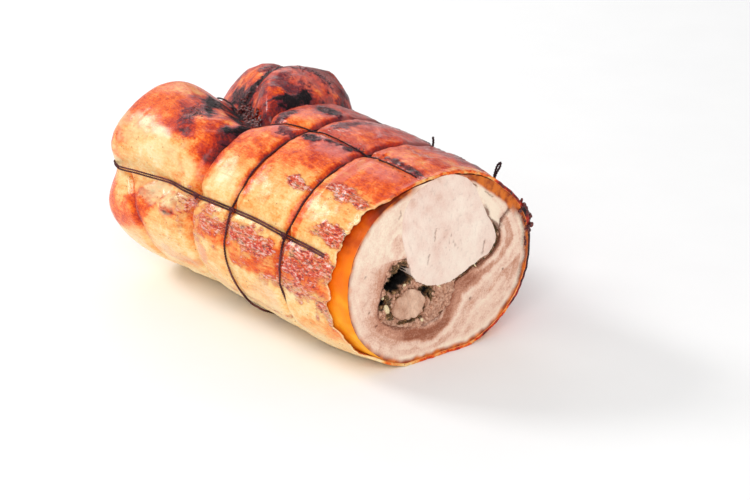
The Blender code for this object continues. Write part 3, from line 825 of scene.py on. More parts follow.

# way behind the cut, turn, reach along, reach round in degrees, tone, and where it slants degrees per mm
# Some rows are painted light: the narrow bands just in front of the ties, at 62, 124 and 172 mm, are painted
# shade on the groove's flank, and the pale patch at 214 mm, turn 157, is a painted highlight.
BROWNED = ((276, 146, 10, 22, 0.5), (232, 140, 14, 7, 0.56, -0.2), (24, 74, 18, 9, 0.46),
           (62, 78, 18, 8, 0.52), (3, 62, 7, 34, 0.3), (18, 114, 36, 14, 0.54), (52, 118, 10, 14, 0.45),
           (88, 121, 18, 8, 0.56), (100, 94, 26, 8, 0.5), (30, 87, 30, 9, 0.48), (150, 99, 16, 9, 0.46),
           (150, 133, 20, 9, 0.42), (30, 146, 40, 9, 0.24), (95, 152, 30, 8, 0.2), (150, 155, 22, 5, 0.14),
           (192, 138, 13, 18, 0.5), (208, 128, 24, 10, 0.46), (222, 138, 16, 6, 0.84, -0.35),
           (245, 132, 18, 14, 0.46), (214, 157, 34, 7, 0.12), (240, 188, 22, 8, 0.42, 0.35),
           (30, 204, 34, 6, 0.3), (100, 184, 30, 4, 0.4), (192, 66, 8, 13, 0.46), (232, 90, 26, 6, 0.56),
           (270, 150, 18, 14, 0.4), (270, 190, 22, 10, 0.45), (226, 121, 26, 4, 0.2, -0.34),
           (214, 70, 14, 12, 0.5), (276, 80, 10, 26, 0.56), (250, 134, 42, 16, 0.46),
           (232, 126, 22, 7, 0.56, -0.1), (300, 172, 24, 30, 0.52), (252, 84, 24, 7, 0.4),
           (192, 67, 9, 11, 0.38), (228, 176, 8, 3, 0.55, 0.2), (206, 179, 7, 3, 0.55),
           (226, 72, 18, 6, 0.58), (58, 178, 66, 7, 0.42), (150, 176, 40, 5, 0.36), (62, 150, 4, 22, 0.4),
           (124, 138, 4, 26, 0.42), (172, 130, 6, 26, 0.42))

# the same, with a strength in the place of the tone
CHARRED = ((240, 115, 14, 6, 0.9, -0.5), (224, 133, 9, 6, 0.45, -0.6), (236, 84, 6, 16, 0.9, -0.5),
           (252, 58, 6, 20, 0.45, -0.5), (214, 60, 20, 4, 0.45, 0.3), (98, 107.5, 27, 3.2, 0.8, 0.2),
           (152, 83, 17, 4, 0.8), (190, 90, 7, 20, 1), (222, 110, 36, 7, 1, -0.26),
           (237, 119, 20, 3.4, 0.95, -0.5), (188, 124, 9, 9, 0.95, -0.5), (166, 103, 5, 12, 0.7),
           (116, 88, 6, 12, 0.6), (30, 97.5, 32, 1.8, 0.7), (206, 84, 22, 12, 0.45),
           (146, 116, 16, 3.4, 0.6), (236, 98, 30, 5, 0.75, -0.4), (60, 40, 60, 9, 0.6),
           (150, 42, 50, 9, 0.6))
BLISTERED = ((222, 178, 22, 5, 0.25), (24, 155, 21, 6, 1), (40, 173, 40, 9, 1),
             (36, 133.5, 31, 4.4, 1, -0.05), (86, 140, 14, 3.4, 1), (100, 173, 35, 7, 0.9),
             (150, 172, 26, 7, 0.75), (33, 98, 33, 4, 0.8), (192, 174, 14, 8, 0.6), (100, 100, 28, 8, 0.5),
             (30, 78, 30, 5, 0.5), (60, 186, 50, 3, 0.6), (70, 180, 70, 12, 0.45), (176, 178, 30, 8, 0.45),
             (16, 190, 14, 10, 0.7), (110, 206, 40, 3, 0.5), (206, 188, 24, 4, 0.2, 0.3))
# Pink patches are partly the skin's own plum pink and partly painted sheen on the upper edges.
PINK_AND_SHEEN = ((236, 66, 20, 9, 0.6, -0.2), (30, 70, 34, 7, 0.5), (110, 76, 30, 7, 0.5), (54, 117, 6, 17, 0.8),
        (92, 112, 24, 7, 0.8), (30, 112, 18, 5, 0.6), (100, 98, 26, 5, 0.6), (150, 117, 17, 5, 0.8),
        (205, 203, 19, 5, 0.6), (164, 190, 6, 6, 0.7), (90, 64, 95, 12, 0.5), (215, 66, 30, 16, 0.5),
        (187, 117, 8, 6, 0.6), (90, 196, 14, 7, 0.3))
# Most rows are pale fat; those at 214 and 244 mm near turn 155 and at 268 mm, turn 170, are painted
# highlights.
PALE_FAT_AND_GLARE = ((244, 153, 46, 7, 0.6, -0.05), (215, 176, 22, 5, 1), (268, 170, 9, 5, 1),
            (214, 157, 30, 5, 0.4), (148, 155, 16, 4, 0.5), (100, 208, 24, 9, 0.5), (150, 208, 20, 9, 0.7),
            (180, 218, 20, 9, 0.6), (222, 200, 26, 6, 0.4), (40, 212, 40, 6, 0.4))


# %% Laying the patches
def patch_masks(rows, points, travel, turn, seed, fray=0.5):
    """A mask for each row, with an edge frayed by noise, and the row's tone or strength."""
    uneven = fray * rough(points, 8, seed) + 0.25 * fray * lumps(points, 2.2, seed + 5)
    for place, angle, along, across, strength, *slant in rows:
        off = turn_off(turn, angle) - sum(slant) * (travel - place)
        away = np.hypot((travel - place) / along, off / across) + uneven
        yield ease(1.25, 0.6, away), strength


def laid_over(rows, *where, fray=0.5):
    """The strongest of all the patches at each point."""
    return np.max([strength * mask for mask, strength in patch_masks(rows, *where, fray)], axis=0)


def browned_tone(points, travel, turn, back):
    """The tone from 0 for pale gold to 1 for black, before any char, with painted shade in the tie grooves.
    """
    tone = glide((turn + 4 * rough(points, 30, 121)) % 360, TONE_TURNS, TONES)
    for mask, browner in patch_masks(BROWNED, points, travel, turn, 131, 0.45):
        tone = tone + (browner - tone) * mask
    for strength, size, seed in ((0.07, 42, 139), (0.09, 16, 141), (0.05, 5, 145)):
        tone = tone + strength * rough(points, size, seed)
    # Painted shade: the skin just behind each tie, down in its groove, is made darker.
    for place, _, _, rear in RINGS.values():
        tone = tone + 0.28 * hump(back - place - 1.0, 0.6 * rear) * ease(215, 150, turn_off(turn, 70) + 70)
    return tone


rind_place = (skin, travel, turn)
tone = browned_tone(*rind_place, back)
char = laid_over(CHARRED, *rind_place, 151, fray=1.1)
wider = [(*row[:2], 1.35 * row[2], 1.9 * row[3], *row[4:]) for row in CHARRED]
halo = laid_over(wider, *rind_place, 151, fray=0.8)
tone = tone + (SCORCHED - tone) * 0.5 * np.clip(halo, 0, 1) * (tone < SCORCHED)
blister = laid_over(BLISTERED, *rind_place, 161, fray=0.6)
pink_and_sheen = laid_over(PINK_AND_SHEEN, *rind_place, 171)
fat_and_glare = laid_over(PALE_FAT_AND_GLARE, *rind_place, 181)
streaks = np.clip(lumps(skin * (0.22, 1, 1), 2.6, 191), 0, 1) * blister
print("patches laid:", len(BROWNED) + len(CHARRED) + len(BLISTERED) + len(PINK_AND_SHEEN) + len(PALE_FAT_AND_GLARE))

# %% [markdown]
# The same patches also have depth. Blisters stand up, char is crumbly, the skin wrinkles beside each tie
# and folds at the tied end. Everything moves along the normals of the shell, and only outside, so the
# rind keeps its thickness inside. Each kind of relief is a function, and its fold lines are a few listed
# points: a distance behind the cut for a turn.

# %% Relief of the rind
# turns, and the distance behind the cut at each of them
REAR_VALLEY = ((30, 60, 84, 100), (262, 250, 236, 222))
SMALL_LOBE = ((172, 182, 192, 206, 220), (286, 259, 245, 246, 250))

CRUMPLE = (220, 176)               # place and turn of the crumpled fold under the double string
RIDGES = ((238, 174, 0.25), (218, 177, -0.3), (206, 174, 0.35))     # place, turn and slant
KNOB_TURN = 13                     # a burnt knob of rind stands on the far side of the cut
GROOVE_SHARE = 0.8                 # how much of a groove's depth is sharpened or filled
FILLED_UNTIL = {"front": 200, "middle": 262, "rear": 160}           # turn where a filled groove ends


def ring_wrinkles(back, turn):
    """Short wrinkles that run away from each tie."""
    waves = 0
    for place, _, front, rear in RINGS.values():
        waves = waves + hump(back - place, np.where(back < place, front, rear) + 5)
    around = np.stack([back / 5, turn * 1.35, 0 * turn], -1)
    return 0.5 * waves * lumps(around, 3.4, 201)


def skin_relief(points, turn):
    """Unevenness all over, raised blisters and crumbly char."""
    relief = 0.75 * rough(points, 19, 211) + 0.12 * lumps(points, 4, 215)
    relief = relief + blister * (np.clip(lumps(points, 3.6, 221), -0.2, 1) + 0.8 * streaks)
    relief = relief + char * (1.2 * np.abs(lumps(points, 3.2, 231)) + 0.8 * lumps(points, 6, 235) - 0.2)
    return relief + 1.1 * rough(points, 9, 257) * ease(14, 24, turn) * ease(92, 78, turn)


def end_folds(back, turn):
    """The folds of skin between the lobes of the tied end."""
    valley = back - np.interp(turn, *REAR_VALLEY)
    relief = -3.0 * hump(valley, 5) * ease(24, 40, turn) * ease(108, 92, turn)
    relief = relief + 3.0 * hump(back - 226, 14) * hump(turn_off(turn, 58), 22)
    along_notch = ease(30, 20, np.abs(back - 226))
    return relief + 2.0 * hump(turn_off(turn, 121) + 0.34 * (back - 228), 4.5) * along_notch


def groove_changes(back, turn):
    """Ties bite deeper with sharp flanks, and lie on top where they would hide on the low near side."""
    relief = 0
    for name, (place, depth, front, rear) in RINGS.items():
        wide = np.where(back < place, front, rear)
        filled = ease(166, 180, turn) * ease(FILLED_UNTIL[name], FILLED_UNTIL[name] - 14, turn)
        flanks = hump(back - place, wide) - hump(back - place, 0.42 * wide)
        relief = relief + GROOVE_SHARE * depth * flanks * (1 - filled)
        relief = relief + GROOVE_SHARE * depth * hump(back - place, 0.85 * wide) * filled
    return relief


# %% All the relief together, and painted shade in its valleys
gathers = hump(back - 212, 24) * lumps(np.stack([back / 22, (turn - 0.2 * back) / 5, 0 * turn], -1), 1, 251)
small_lobe = back - np.interp(turn, *SMALL_LOBE)
lobe_edge = ease(170, 177, turn) * ease(224, 206, turn)
crumple = ease(9, 3, np.abs(turn - CRUMPLE[1])) * ease(30, 20, np.abs(back - CRUMPLE[0]))
creased = lumps(skin, 4.5, 261)
pleat = hump(back - 56 + 1.5 * lumps(skin, 14, 241), 2.2) * ease(90, 98, turn) * ease(142, 132, turn)
relief = skin_relief(skin, turn) + ring_wrinkles(back, turn) + end_folds(back, turn)
relief = relief + 1.7 * gathers - 3.2 * hump(small_lobe, 3.5) * lobe_edge + 1.6 * pleat
relief = relief + crumple * (1.5 * creased - 2.0)
# Painted shade: darker in the valleys of the gathers, in the crease at the small lobe and in the crumple's
# valleys.
tone = tone - 0.16 * np.minimum(gathers, 0.1) + 0.3 * hump(small_lobe + 3, 6) * lobe_edge
tone = tone + 0.3 * crumple * ease(0.1, -0.6, creased)
for middle, angle, slant in RIDGES:
    ridge = hump(turn - angle - slant * (back - middle), 2.0) * hump(back - middle, 11)
    relief = relief + 3.0 * ridge
    # The ridge crests get pale fat colour: partly pale fat, partly a painted highlight.
    fat_and_glare = np.maximum(fat_and_glare, 0.9 * ridge)
relief = relief + groove_changes(back, turn)
relief = np.where(outside > 0.5, relief, np.minimum(relief, 0)) * ease(0, 4, travel - edge + 1)
print(f"rind relief from {relief.min():.2f} to {relief.max():.2f} mm")

# %% Pressing the relief in, and painting the rind
RIM_TURNS = (0, 20, 34, 50, 70, 90, 120, 240, 270, 310, 335, 360)
RIM_TONES = (0.86, 0.9, 0.66, 0.5, 0.4, 0.36, 0.4, 0.25, 0.4, 0.56, 0.76, 0.86)
INNER_TONE = 0.35
INNER_FAT = 0.4
knob = hump(travel - 5, 6) * hump(turn_off(turn, KNOB_TURN), 6) * outside
knob = knob * (0.7 + 0.6 * lumps(skin, 4, 255))
char = np.maximum(char, np.clip(1.3 * knob, 0, 1))
at_edge = hump(np.maximum(travel - edge, 0), 1.1)
fat_and_glare = np.maximum(fat_and_glare, 0.8 * at_edge * ease(1, 4, edge))
rim_tone = np.interp(turn, RIM_TURNS, RIM_TONES) + 0.35 * rough(skin, 7, 195)
tone = tone + (rim_tone - tone) * at_edge * ease(4, 1, edge)
inner_side = sink > RIND - 0.1
paint(rind, "roast", np.where(inner_side, INNER_TONE, tone), char * outside, blister * outside)
paint(rind, "touch", pink_and_sheen * outside, np.maximum(fat_and_glare, INNER_FAT * inner_side), streaks * outside)
skin = skin + outwards * (relief + curl + 4.5 * knob)[:, None]
skin[:, 2] = np.maximum(skin[:, 2], 0)
write_points(rind, to_world(skin))
smooth(rind, 80)
print(f"the rind is {100 * (char * outside > 0.5).sum() / (outside > 0.5).sum():.0f} percent charred")

# %% [markdown]
# Butcher's twine is three strands twisted together. A curve can carry that: its bevel profile is a
# clover with three leaves, and each point tilts it a little further, so the leaves wind round like
# strands. The ties follow the finished rind, which rays feel from outside, and bridge its small hollows,
# as a taut string does.

# %% Clover profile for the twine
TWIST_LENGTH = 6.5                 # mm for one full turn of the strands
CLOVER_POINTS = 12


def clover(radius):
    """A closed flat curve with three leaves."""
    bpy.ops.object.select_all(action="DESELECT")
    bpy.ops.curve.primitive_bezier_circle_add(radius=radius)
    profile = bpy.context.object
    spline = profile.data.splines.new("POLY")
    spline.points.add(CLOVER_POINTS - 1)
    for i, point in enumerate(spline.points):
        a = 2 * math.pi * i / CLOVER_POINTS
        reach = radius * (0.84 + 0.2 * math.cos(3 * a))
        point.co = (reach * math.cos(a), reach * math.sin(a), 0, 1)
    spline.use_cyclic_u = True
    profile.data.splines.remove(profile.data.splines[0])
    profile.data.dimensions = "2D"
    return profile


# %% A twisted string
def resample(path, step):
    """The path at even steps, and how far along it each point lies."""
    path = np.asarray(path, float)
    gaps = np.linalg.norm(np.diff(path, axis=0), axis=1)
    along = np.concatenate([[0], np.cumsum(gaps)])
    places = np.linspace(0, along[-1], max(int(along[-1] / step), 8))
    return np.stack([np.interp(places, along, path[:, axis]) for axis in range(3)], -1), places


def twine(name, path, radius, step=0.8):
    """A twisted string along a path in mm, as a closed mesh."""
    points, along = resample(path, step)
    profile = clover(radius * MM)
    bpy.ops.object.select_all(action="DESELECT")
    bpy.ops.curve.primitive_bezier_curve_add()
    piece = bpy.context.object
    piece.name = name
    piece.data.splines.remove(piece.data.splines[0])
    spline = piece.data.splines.new("POLY")
    spline.points.add(len(points) - 1)
    spline.points.foreach_set("co", np.column_stack([to_world(points), np.ones(len(points))]).ravel())
    spline.points.foreach_set("tilt", along / TWIST_LENGTH * 2 * math.pi)
    piece.data.dimensions = "3D"
    piece.data.bevel_mode = "OBJECT"
    piece.data.bevel_object = profile
    piece.data.use_fill_caps = True
    only(piece)
    bpy.ops.object.convert(target="MESH")
    remove([profile])
    piece = bpy.context.object
    piece.data.name = name
    bpy.ops.object.mode_set(mode="EDIT")
    bpy.ops.mesh.select_all(action="SELECT")
    bpy.ops.mesh.remove_doubles(threshold=0.01 * MM)
    bpy.ops.mesh.normals_make_consistent(inside=False)
    bpy.ops.object.mode_set(mode="OBJECT")
    turn_outwards(piece)
    smooth(piece, 75)
    print(f"{name}: {along[-1]:.0f} mm of twine, {len(piece.data.polygons)} faces")
    return piece


# %% Feeling the rind
def surface_tree(piece):
    """The piece's surface, ready for rays."""
    bm = bmesh.new()
    bm.from_mesh(piece.data)
    tree = BVHTree.FromBMesh(bm)
    bm.free()
    return tree


rind_tree = surface_tree(rind)
SPINE_END = -226                   # the strings over the rear end are felt from this last inner point
RAY_START = 150
TAUTNESS = 0.15                    # how steeply a string may dip into a hollow


def spine_point(x):
    """The inner point from which the strings are stretched, in mm."""
    return np.array([max(x, SPINE_END), 0, AXIS_HEIGHT])


def feel(guess):
    """The spine point, the way out from it and the distance to the rind, for a guessed place in mm."""
    spine = spine_point(guess[0])
    outwards = (guess - spine) / np.linalg.norm(guess - spine)
    start = Vector(to_world([spine + outwards * RAY_START])[0])
    hit, _, _, distance = rind_tree.ray_cast(start, Vector(-outwards))
    return spine, outwards, (RAY_START - distance / MM if hit else np.linalg.norm(guess - spine))


def on_rind(travel, turn):
    """The place on the rind for a way and a turn, and the way out there."""
    spine, outwards, distance = feel(roast_form(np.array([travel]), np.array([turn]))[0][0])
    return spine + outwards * distance, outwards


def bridged(heights, places, reach):
    """Lift the hollows, so that a string spans them."""
    gaps = np.abs(places[:, None] - places[None, :])
    spans = np.where(gaps < reach, np.asarray(heights)[None, :] - TAUTNESS * gaps, 0)
    return spans.max(axis=1)


# %% The three ties round the roast
RING_RADIUS = 1.0
RING_WANDER = 0.5
TURN_STEP = 1.5
MM_PER_DEGREE = 1.5                # way round the roast
KNOT_TURN = 165


def ring_path(back):
    """One and a half turns round the roast, of which the turn that starts at the knot is kept."""
    turns = np.arange(0, 540, TURN_STEP)
    a = np.radians(turns)
    guesses = np.stack([0 * a - back, 100 * np.cos(a), AXIS_HEIGHT + 100 * np.sin(a)], -1)
    heights = np.array([feel(guess)[2] for guess in guesses])
    lifted = bridged(heights, turns * MM_PER_DEGREE, 20) + 0.3 * RING_RADIUS
    wander = RING_WANDER * flat_noise(turns, back, 16, 90)
    z = np.maximum(AXIS_HEIGHT + lifted * np.sin(a), RING_RADIUS)
    path = np.stack([wander - back, lifted * np.cos(a), z], -1)
    start = int(KNOT_TURN / TURN_STEP)
    return path[start:start + int(360 / TURN_STEP) + 1]


rings = []
for name, (place, *_) in RINGS.items():
    rings.append(twine(f"tie_{name}", ring_path(place), RING_RADIUS))

# %% [markdown]
# Two strands run side by side along the near side, over the tied end and home along the far side. A third
# goes over the top and back underneath. Each follows a crease of the form, felt in the same way, and
# spans the grooves of the ties.

# %% The lengthwise strings
STRAND_RADIUS = 0.8
STRAND_SPACING = 1.9
SIDE_ENDS = (25, 23)               # mm behind the cut where a string starts and where it ends
TOP_ENDS = (8, 14)
FAR_OVER_END = -260                # past this the top string stands clear of the side strings it crosses


def crease_path(out_crease, home_crease, ends):
    """Out along one crease, over the rear end and home along the other, on the plain form."""
    over = list(np.linspace(WALL, FORM_END, 40)[1:-1])
    out = list(np.arange(ends[0], WALL, 2.5)) + over
    home = over[::-1] + list(np.arange(WALL, ends[1], -2.5))
    path = []
    for crease, ways in ((out_crease, out), (home_crease, home)):
        ways = np.array(ways)
        back = np.minimum(ways, WALL) + CAP * np.clip((ways - WALL) / CAP_TRAVEL, 0, 1)
        path.append(roast_form(ways, crease_turn(crease, back))[0])
    return np.concatenate(path)


def string_path(guesses, aside, lift, reach=30, highest=20):
    """A string along the guessed places, set aside from them, laid on the rind and pulled taut."""
    steps = np.gradient(guesses, axis=0)
    spines = np.array([spine_point(guess[0]) for guess in guesses])
    sideways = np.cross(steps, guesses - spines)
    sideways = sideways / np.linalg.norm(sideways, axis=1)[:, None]
    found = [feel(guess) for guess in guesses + aside * sideways]
    found = [(spine, way, min(height, np.linalg.norm(guess - spine) + highest))
             for (spine, way, height), guess in zip(found, guesses)]
    along = np.concatenate([[0], np.cumsum(np.linalg.norm(np.diff(guesses, axis=0), axis=1))])
    heights = bridged([distance for _, _, distance in found], along, reach)
    heights = np.convolve(np.pad(heights, 1, mode="edge"), (0.25, 0.5, 0.25), mode="valid")
    heights = heights + STRAND_RADIUS + lift
    path = np.array([spine + way * height for (spine, way, _), height in zip(found, heights)])
    path[:, 2] = np.maximum(path[:, 2], STRAND_RADIUS)
    return path


side_line = crease_path("near", "far", SIDE_ENDS)
top_line = crease_path("top", "low", TOP_ENDS)
strand_paths = {
    "strand_upper": string_path(side_line, -STRAND_SPACING / 2, 0.0),
    "strand_lower": string_path(side_line, STRAND_SPACING / 2, 0.0),
    "strand_top": string_path(top_line, 0, -0.6, 8, 1.5),
}
top_path = strand_paths["strand_top"]
off_middle = np.linalg.norm(top_path[:, 1:] - (0, AXIS_HEIGHT), axis=1)
top_path[:, 0] -= np.where(top_path[:, 0] < FAR_OVER_END, 2.6 * hump(off_middle, 14), 0)
strands = [twine(name, path, STRAND_RADIUS) for name, path in strand_paths.items()]

# %% [markdown]
# Where a tie meets the pair of side strands it is knotted. The knot is one small trefoil loop of twine,
# a closed curve that three sines draw. Two burnt ends stick up from the far side, left from the knots
# there; each is a short string through a few bends. Twine browns like the rind: most on the top's far
# side, where the heat was strongest.

# %% Knots
KNOT_SIZE = 0.8
KNOT_RADIUS = 0.7
KNOT_LIFT = 1.7


def frame_at(place, outwards, along=(1, 0, 0)):
    """Turn small shapes so that their z points out of the roast."""
    z = np.asarray(outwards, float) / np.linalg.norm(outwards)
    y = np.cross(z, along)
    y = y / np.linalg.norm(y)
    return lambda shape: place + np.asarray(shape) @ np.array([np.cross(y, z), y, z])


a = np.linspace(0, 2 * math.pi, 70)
trefoil = [np.sin(a) + 2 * np.sin(2 * a), np.cos(a) - 2 * np.cos(2 * a), -1.2 * np.sin(3 * a)]
upper, lower = strand_paths["strand_upper"], strand_paths["strand_lower"]
near_half = upper[:len(upper) // 2, 0]
knots = []
for name, (place, *_) in RINGS.items():
    i = int(np.argmin(np.abs(near_half + place)))
    middle = (upper[i] + lower[i]) / 2
    outwards = middle - spine_point(middle[0])
    outwards = outwards / np.linalg.norm(outwards)
    settle = frame_at(middle + outwards * KNOT_LIFT, outwards)
    knots.append(twine(f"twine_knot_{name}", settle(np.stack(trefoil, -1) * KNOT_SIZE), KNOT_RADIUS, 0.5))

# %% Burnt ends
# way behind the cut, turn, and the bends of the twine from its foot upwards
STUBS = {"burnt_stub_tie": (69, 52, ((0, 0, -2), (1, 1, 2), (-1.5, 0, 4), (-1, -1.5, 2), (1, 0, 3.5),
                                     (0, 1, 8), (-1, 0.5, 12))),
         "burnt_stub_cut": (22, 33, ((0, 0, -2), (0.5, 0, 5), (2.5, 0, 11), (1, 1, 14), (-1.5, 1, 11),
                                     (-1, 0, 5), (-0.5, 0, -1)))}
STUB_RADIUS = 1.0
UPRIGHT = (0, 0, 2.0)              # the ends stand more upright than the rind under them
stubs = []
for name, (place, angle, bends) in STUBS.items():
    foot, outwards = on_rind(float(place), float(angle))
    bends = np.array(bends, float)
    fine = np.linspace(0, len(bends) - 1, 40)
    curve = np.stack([glide(fine, np.arange(len(bends)), bends[:, axis]) for axis in range(3)], -1)
    stubs.append(twine(name, frame_at(foot, outwards + UPRIGHT)(curve), STUB_RADIUS, 0.5))

# %% How burnt the twine is
DARK_SIDE = 60                     # the turn where the heat was strongest, up on the far side


def burn_twine(pieces, base, share):
    """Paint the twine's burn by its side of the roast, raised and weighted for its kind."""
    for piece in pieces:
        place = to_roast(read_points(piece))
        angle = np.degrees(np.arctan2(place[:, 2] - AXIS_HEIGHT, place[:, 1]))
        burn = 0.35 + 0.65 * ease(80, 20, np.abs(turn_off(angle, DARK_SIDE))) + 0.25 * rough(place, 12, 301)
        paint(piece, "burnt", base + share * burn, 0 * burn, 0 * burn)


burn_twine(rings + strands[:2], 0.15, 1)
burn_twine([strands[2], *stubs], 0.8, 0)
burn_twine(knots, 0.3, 0.4)
print(f"twine burnt: {len(rings)} ties, {len(strands)} strands, {len(knots)} knots, {len(stubs)} ends")

# %% [markdown]
# Small things finish the roast: herb leaves, garlic and crumbled meat in the filling, char crumbs along
# the top string and in the burnt folds, and bits of burnt crust on the far side of the cut. A few
# different shapes are modelled for leaves and for crumbs, then strewn many times with a fixed seed, and
# each kind is joined into one mesh. A shape has only a few dozen faces, because there are hundreds.

# %% Shapes for the small things
def crumb_shape(name, stretch, seed):
    """A small ball, made lumpy and stretched."""
    bpy.ops.object.select_all(action="DESELECT")
    bpy.ops.mesh.primitive_ico_sphere_add(subdivisions=2, radius=1)
    piece = bpy.context.object
    piece.name = name
    points = read_points(piece)
    write_points(piece, points * (1 + 0.35 * lumps(points * 3, 2.6, seed)[:, None]) * stretch)
    return piece


def leaf_shape(name, width, bend, seed):
    """A thin leaf: a narrow disc, thickened and bent."""
    bpy.ops.object.select_all(action="DESELECT")
    bpy.ops.mesh.primitive_circle_add(vertices=8, radius=1, fill_type="NGON")
    piece = bpy.context.object
    piece.name = name
    bpy.ops.object.mode_set(mode="EDIT")
    bpy.ops.mesh.select_all(action="SELECT")
    bpy.ops.mesh.inset(thickness=0.3)
    bpy.ops.mesh.select_all(action="SELECT")
    bpy.ops.mesh.solidify(thickness=0.18)
    bpy.ops.mesh.normals_make_consistent(inside=False)
    bpy.ops.object.mode_set(mode="OBJECT")
    points = read_points(piece)
    points[:, 1] = points[:, 1] * width + 0.12 * lumps(points * 2, 1.3, seed)
    points[:, 2] += bend * points[:, 0] ** 2
    write_points(piece, points)
    return piece


def strew(name, shapes, places, outwards, sizes, seed, upright):
    """Copies of the shapes at the places, tilted at random, joined in one mesh."""
    rng = np.random.default_rng(seed)
    corners = []
    faces = []
    count = 0
    for place, way, size in zip(places, outwards, sizes):
        shape = shapes[rng.integers(len(shapes))]
        spin = rng.uniform(0, 2 * math.pi)
        tilt = np.asarray(way) + upright * rng.normal(size=3)
        side = np.cross(tilt, (math.cos(spin), math.sin(spin), 0.3))
        corners.append(frame_at(place, tilt, side)(read_points(shape) * size))
        faces += [[v + count for v in face.vertices] for face in shape.data.polygons]
        count += len(corners[-1])
    mesh = bpy.data.meshes.new(name)
    mesh.from_pydata(to_world(np.concatenate(corners)).tolist(), [], faces)
    piece = bpy.data.objects.new(name, mesh)
    bpy.context.collection.objects.link(piece)
    smooth(piece, 40)
    print(f"{name}: {len(places)} bits, {len(mesh.polygons)} faces")
    return piece


CRUMB_STRETCHES = ((1, 0.8, 0.6), (1.2, 0.7, 0.7), (0.8, 0.9, 0.8), (1.3, 0.6, 0.5))
LEAF_WIDTHS_AND_BENDS = ((0.45, 0.3), (0.3, -0.2), (0.55, 0.15), (0.25, 0.35))
crumb_shapes = [crumb_shape(f"crumb_{i}", stretch, 400 + i) for i, stretch in enumerate(CRUMB_STRETCHES)]
leaf_shapes = [leaf_shape(f"leaf_{i}", *shape, 410 + i) for i, shape in enumerate(LEAF_WIDTHS_AND_BENDS)]
print("shapes to strew:", len(crumb_shapes), "crumbs and", len(leaf_shapes), "leaves")

# %% Strewing the filling
FEEL_FROM = 20                     # mm in front of the cut
DEEPEST_SPOT = 16
GARLIC = ((-47, 50, 3.4), (-8, 62, 1.6), (2, 58, 1.4), (-14, 34, 1.6), (20, 46, 1.3), (-30, 66, 1.5),
          (38, 66, 1.3), (-50, 60, 1.5), (12, 40, 1.4))
FORWARD = (1, 0, 0)
filling_tree = surface_tree(filling)


def on_cut(y, z):
    """Places on the face of the filling, felt from in front."""
    places = []
    for spot_y, spot_z in zip(y, z):
        start = Vector(to_world([(FEEL_FROM, spot_y, spot_z)])[0])
        hit, normal, _, _ = filling_tree.ray_cast(start, Vector((-1, 0, 0)))
        if hit and normal.x > 0.15 and hit.x > CUT_X - DEEPEST_SPOT * MM:
            places.append(to_roast([hit])[0])
    return np.array(places)


def on_cut_or_near(y, z):
    """The place on the filling's face, or one 3 mm behind the cut where no ray finds it."""
    found = on_cut([y], [z])
    return found[0] if len(found) else (-3, y, z)


rng = np.random.default_rng(42)
spots = on_cut(rng.uniform(-58, 70, 6000), rng.uniform(26, 104, 6000))
herby = spots_on_cut(HERB_PLACES, spots[:, 1], spots[:, 2], 0.2 * lumps(spots * (0, 1, 1), 5, 81))
green = spots[herby > 0.35][:420]
herbs = strew("herb_flakes", leaf_shapes, green + (0.2, 0, 0), [FORWARD] * len(green),
              rng.uniform(0.7, 1.9, len(green)), 501, 0.7)
meaty = spots[(herby < 0.3) & (spots[:, 1] < 20)][:150]
mince = strew("mince_bits", crumb_shapes, meaty - (1.0, 0, 0), [FORWARD] * len(meaty),
              rng.uniform(1.2, 3.6, len(meaty)), 502, 0.5)
garlic_spots = np.array([on_cut_or_near(y, z) for y, z, _ in GARLIC])
garlic = strew("garlic_chips", crumb_shapes, garlic_spots + (0.6, 0, 0), [FORWARD] * len(GARLIC),
               [size for _, _, size in GARLIC], 503, 0.4)

# %% Char crumbs on the rind
# crease, from and to behind the cut, number of crumbs, spread in degrees
CRUMB_LINES = (("top", 8, 250, 170, 1.6), ("far", 20, 240, 50, 5))
CRUMBED_PATCHES = 5
CRUMBS_PER_PATCH = 60

crumb_places = []
for crease, start, stop, count, spread in CRUMB_LINES:
    for back in rng.uniform(start, stop, count):
        angle = float(crease_turn(crease, back)) + rng.normal(0, spread)
        crumb_places.append(on_rind(back, angle))
for place, angle, along, across, _, *slant in CHARRED[:CRUMBED_PATCHES]:
    for _ in range(CRUMBS_PER_PATCH):
        off = rng.normal(0, along * 0.4)
        crumb_places.append(on_rind(place + off, angle + sum(slant) * off + rng.normal(0, across * 0.5)))
places, ways = zip(*crumb_places)
crumbs = strew("char_crumbs", crumb_shapes, places, ways, rng.uniform(0.3, 0.8, len(places)), 504, 0.3)

# %% Burnt crust
EDGE_BITS = 150
FOLD_BITS = 130
FOLD_START = (193, 113)            # way and turn where the burnt fold between the lobes starts
FOLD_RUN = (55, -17)

crust_places = []
for _ in range(EDGE_BITS):
    place, way = on_rind(rng.uniform(0.5, 12), rng.normal(KNOB_TURN, 5))
    crust_places.append((place - way * rng.uniform(-1, 7) + (rng.uniform(0, 1.5), 0, 0), way))
for share_along in rng.uniform(0, 1, FOLD_BITS):
    back = FOLD_START[0] + FOLD_RUN[0] * share_along + rng.normal(0, 2)
    angle = FOLD_START[1] + FOLD_RUN[1] * share_along + rng.normal(0, 2.5)
    crust_places.append(on_rind(back, angle))
places, ways = zip(*crust_places)
crust = strew("burnt_crust", crumb_shapes, places, ways, rng.uniform(0.9, 2.8, len(places)), 505, 0.6)
remove(crumb_shapes + leaf_shapes)

# %% [markdown]
# Now the finishes. Colours are written the way a colour picker shows them and turned into the linear
# values that shaders use. A few helpers keep the node trees short to read: each adds one node or two and
# gives back the socket that carries its result.

# %% Colours and sockets
def shade(red, green, blue):
    """A colour picked as 0-255 values, in the linear form of the shaders."""
    shares = [channel / 255 for channel in (red, green, blue)]
    linear = [c / 12.92 if c <= 0.04045 else ((c + 0.055) / 1.055) ** 2.4 for c in shares]
    return (*linear, 1)


